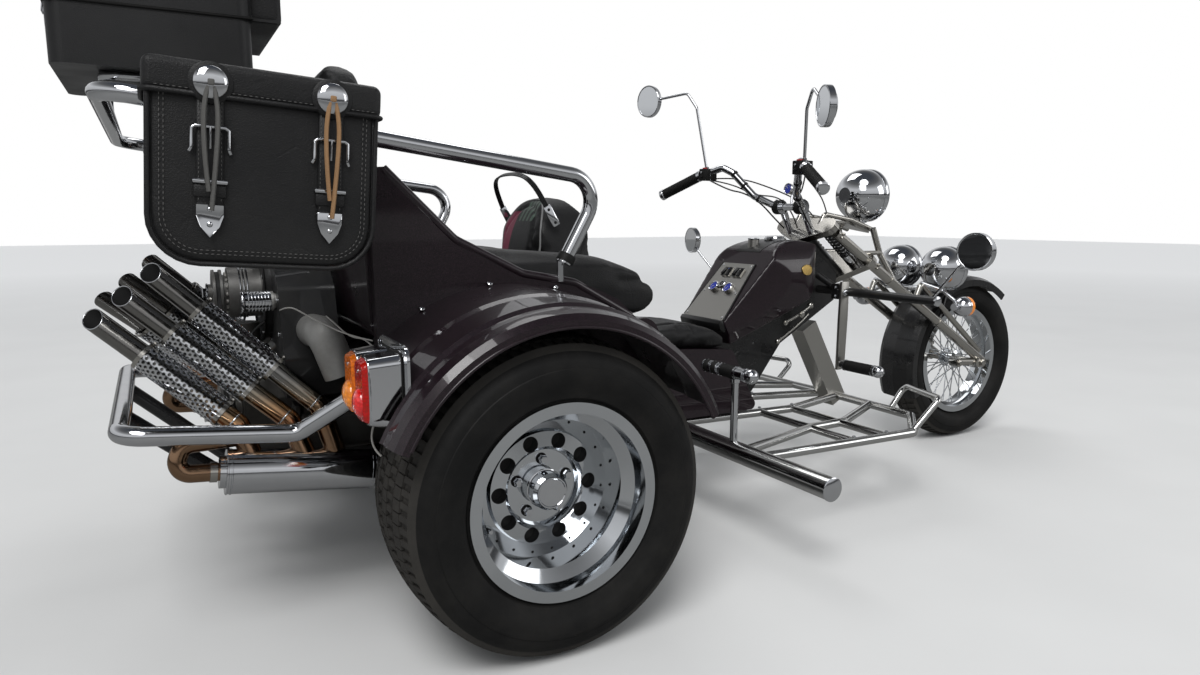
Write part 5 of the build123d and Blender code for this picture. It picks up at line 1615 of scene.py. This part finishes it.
def makeTopCase():
    lidMetal, trayMetal = [], []
    x0, x1 = topCase["x"]
    h, z1 = topCase["half"], topCase["seam"]
    corners = ((x0 - 1, -h - 1), (x0 - 1, h + 1), (x1 + 1, h + 1), (x1 + 1, -h - 1), (x0 - 1, -h - 1))
    seal = tube([spot(x, y, z1 + 6) for x, y in corners], 0.007, sides=2, kind="POLY")
    for y in (-150, 150):
        lidMetal.append(block(spot(x0 - 6, y - 19, z1 + 10), spot(x0 - 0.5, y + 19, z1 + 44), 0.0022, 2))
        lidMetal.append(tube(spots(1, (x0 - 5, y - 16, z1 + 14), (x0 - 7.5, y - 16, z1 - 4),
                                   (x0 - 7.5, y + 16, z1 - 4), (x0 - 5, y + 16, z1 + 14)), 0.0036, sides=2,
                             kind="POLY"))
        trayMetal.append(block(spot(x0 - 5, y - 14, z1 - 34), spot(x0 - 0.5, y + 14, z1 - 10), 0.002, 2))
        for dz in (18, 36):
            lidMetal.append(button(spot(x0 - 6, y, z1 + dz), (-1, 0, 0), 0.0036, 0.001, 0.001, 14))
    # lock between the latches
    lidMetal.append(lathed([(0, 0.014), (0.003, 0.014), (0.004, 0.0125), (0.004, 0.0075), (0.0028, 0.006),
                            (0.003, 0)], spot(x0 - 0.5, 0, z1 + 24), (-1, 0, 0), 32))
    pad = block(spot(x1 - 2, -206, 1337), spot(x1 + 68, 206, 1513), 0.004, 2)
    applied(pad, "REMESH", mode="VOXEL", voxel_size=0.0072)
    applied(pad, "SMOOTH", factor=0.5, iterations=3)
    dressAll("case_lid", 38, (lidMetal, "caseLatches", chrome))
    dressAll("chassis", 38, (trayMetal, "caseCatches", chrome))
    dress(seal, "caseSeal", "case_lid", softRubber, 50)
    dress(pad, "casePad", "case_lid", leather, 70)


makeTopCase()
print("top case trimmed")


# belt looped over the driver's backrest, with a bright riveted end on each side
def makeBelt():
    web, metal, dark = [], [], []
    over = spots(1, (262, -158, 940), (240, -150, 985), (222, -118, 1020), (216, -60, 1032), (216, 0, 1034),
                 (216, 60, 1032), (222, 118, 1020), (240, 150, 985), (262, 158, 940))
    for dx in (-5, 0, 5):
        web.append(tube([p + Vector((dx * 0.8 / 1000, 0, dx * 0.5 / 1000)) for p in over], 0.006, sides=2))
    for side in (-1, 1):
        top, end = spot(262, side * 158, 942), spot(294, side * 161, 884)
        run = (end - top).normalized()
        turn = Matrix((run.cross(Vector((0, 1, 0))), Vector((0, 1, 0)), run)).transposed().to_4x4()
        plate = block((-0.012, -0.002, 0), (0.012, 0.002, 0.062), 0.0019, 2)
        plate.data.transform(Matrix.Translation(top) @ turn)
        metal.append(plate)
        for d in (0.012, 0.052):
            dark.append(lathed([(0, 0.0042), (0.0024, 0.0042), (0.0028, 0.003), (0.0028, 0)], top + run * d,
                               (0, side, 0), 16))
    dressAll("chassis", 40, (web, "beltWebbing", blackPlastic), (metal, "beltPlates", chrome),
             (dark, "beltRivets", softRubber))


makeBelt()
print("belt hung")


# body trims: rolled edge of the fenders, rail ends, step tube caps, fork bolts, brake hose, piping
trims = {"lip": 835, "radius": 364, "arc": (-63.5, 66.0), "legTop": (1404, 856), "legFoot": (2256, 328), "legY": 112,
         "bolts": 428, "piping": (145, 825, 146)}


def onLeg(share, y, ahead=0, rise=0):
    (x0, z0), (x1, z1) = trims["legTop"], trims["legFoot"]
    return spot(x0 + (x1 - x0) * share + ahead, y, z0 + (z1 - z0) * share + rise)


def makeTrims():
    metal, steered = [], []
    up = (0, 0, 1)
    legY = trims["legY"]
    a0, a1 = trims["arc"]
    edge = []
    for i in range(41):
        a = math.radians(a0 + (a1 - a0) * i / 40)
        edge.append(spot(trims["radius"] * math.sin(a), trims["lip"] - 1.5, 338 + trims["radius"] * math.cos(a)))
    bead = tube(edge, 0.0075)
    # bolts that hold the fender to the seat body
    for a in (-48, -28, -6, 16, 38, 58):
        r = trims["bolts"]
        metal.append(button(spot(r * math.sin(math.radians(a)), 507, 338 + r * math.cos(math.radians(a))),
                            (0, 0.6, 0.8), 0.006, 0.0022, 0.002, 16))
    # collar where the handrail meets the seat body
    foot, knee = spot(133, 520, 806), spot(236, 528, 996)
    rail = (knee - foot).normalized()
    collar = lathed([(0, 0.0174), (0, 0.0212), (0.016, 0.0208), (0.019, 0.0188), (0.019, 0.0174)],
                    foot + rail * 0.004, rail, 40)
    # end cap of the step tube
    metal.append(lathed([(-0.004, 0.0302), (-0.003, 0.0316), (0.0, 0.0316), (0.002, 0.029), (0.0026, 0)],
                        spot(745, 789.5, 237), (0, 1, 0), 48))
    # fork: nuts on axle, rockers and leg tops, pinch bolts of the yokes
    for x, y, z, axis, r in ((2232, 134.2, 325, (0, 1, 0), 0.014), (2090, 134.2, 336, (0, 1, 0), 0.012),
                             (1404, legY, 869, up, 0.011)):
        steered.append(hexHead(spot(x, y, z), axis, r, 0.009))
    for share in (0.02, 0.235):
        for rise in (-7, 7):
            steered.append(hexHead(onLeg(share, 130.5, rise * 0.5, rise), (0, 1, 0), 0.0052, 0.0055))
    # hose down the right leg to the front wheel
    hose = [onLeg(0.02, 84, -20, 30), onLeg(0.1, 96, 22, 22), onLeg(0.25, 128, 18, 18), onLeg(0.5, 134, 14, 14),
            onLeg(0.75, 134, 14, 14), onLeg(0.92, 132, 8, 12), onLeg(0.985, 128, -10, 14)]
    hose = tube(hose, 0.0065, sides=2)
    for share in (0.33, 0.66):
        steered.append(band(0.004, 0.0182, 0.0196, onLeg(share, legY), onLeg(1, legY) - onLeg(0, legY), 32))
    # small bolts on the boards
    places = ((1100, 92), (1100, 522), (1232, 108), (1232, 528), (745, 440), (745, 510))
    boards = [hexHead(spot(x, y, 259.4), up, 0.005, 0.004) for x, y in places]
    dressAll("chassis", 38, (metal + boards, "bodyBolts", chrome), twice=True)
    dressAll("steering", 38, (steered, "forkBolts", stainless), twice=True)
    dress(hose, "forkHose", "steering", blackPlastic, 60)
    dress(bothSides(collar), "railCollars", "chassis", softRubber, 40)
    dress(bothSides(bead), "fenderBeads", "chassis", lacquer, 60)
    # linkages under the tank on the right
    links = [tube(spots(1, (1150, -150, 560), (1214, -158, 586), (1262, -150, 612)), 0.012),
             tube(spots(1, (1120, -150, 498), (1200, -156, 544), (1256, -146, 582)), 0.009),
             hexHead(spot(1214, -162, 586), (0, -1, 0), 0.009, 0.006),
             hexHead(spot(1150, -154, 560), (0, -1, 0), 0.007, 0.006), ball(spot(1262, -150, 612), 0.011),
             ball(spot(1120, -150, 498), 0.009)]
    dress(joined(links), "tankLinkages", "chassis", stainless, 38)
    # grey piping round the rear face of the driver's backrest, laid on its skin
    cushion = bpy.data.objects["driverBackrest"]
    half, low, arch = trims["piping"]
    outline = [(232, -half, z) for z in range(730, low, 19)]
    for i in range(17):
        a = i / 16 * math.pi
        outline.append((236 + 66 * math.sin(a) ** 1.5, -half * math.cos(a), low + arch * math.sin(a)))
    outline += [(232, half, z) for z in range(low - 19, 729, -19)]
    laid = []
    for x, y, z in outline:
        found, place, out, at = cushion.closest_point_on_mesh(spot(x, y, z))
        laid.append(place + out * 0.0008)
    dress(tube(laid, 0.0058, sides=2), "backrestPiping", "chassis",
          plasticPaint("pipingGrey", (0.2, 0.2, 0.2), 0.6, 1400.0), 60)


makeTrims()
print("trims laid")
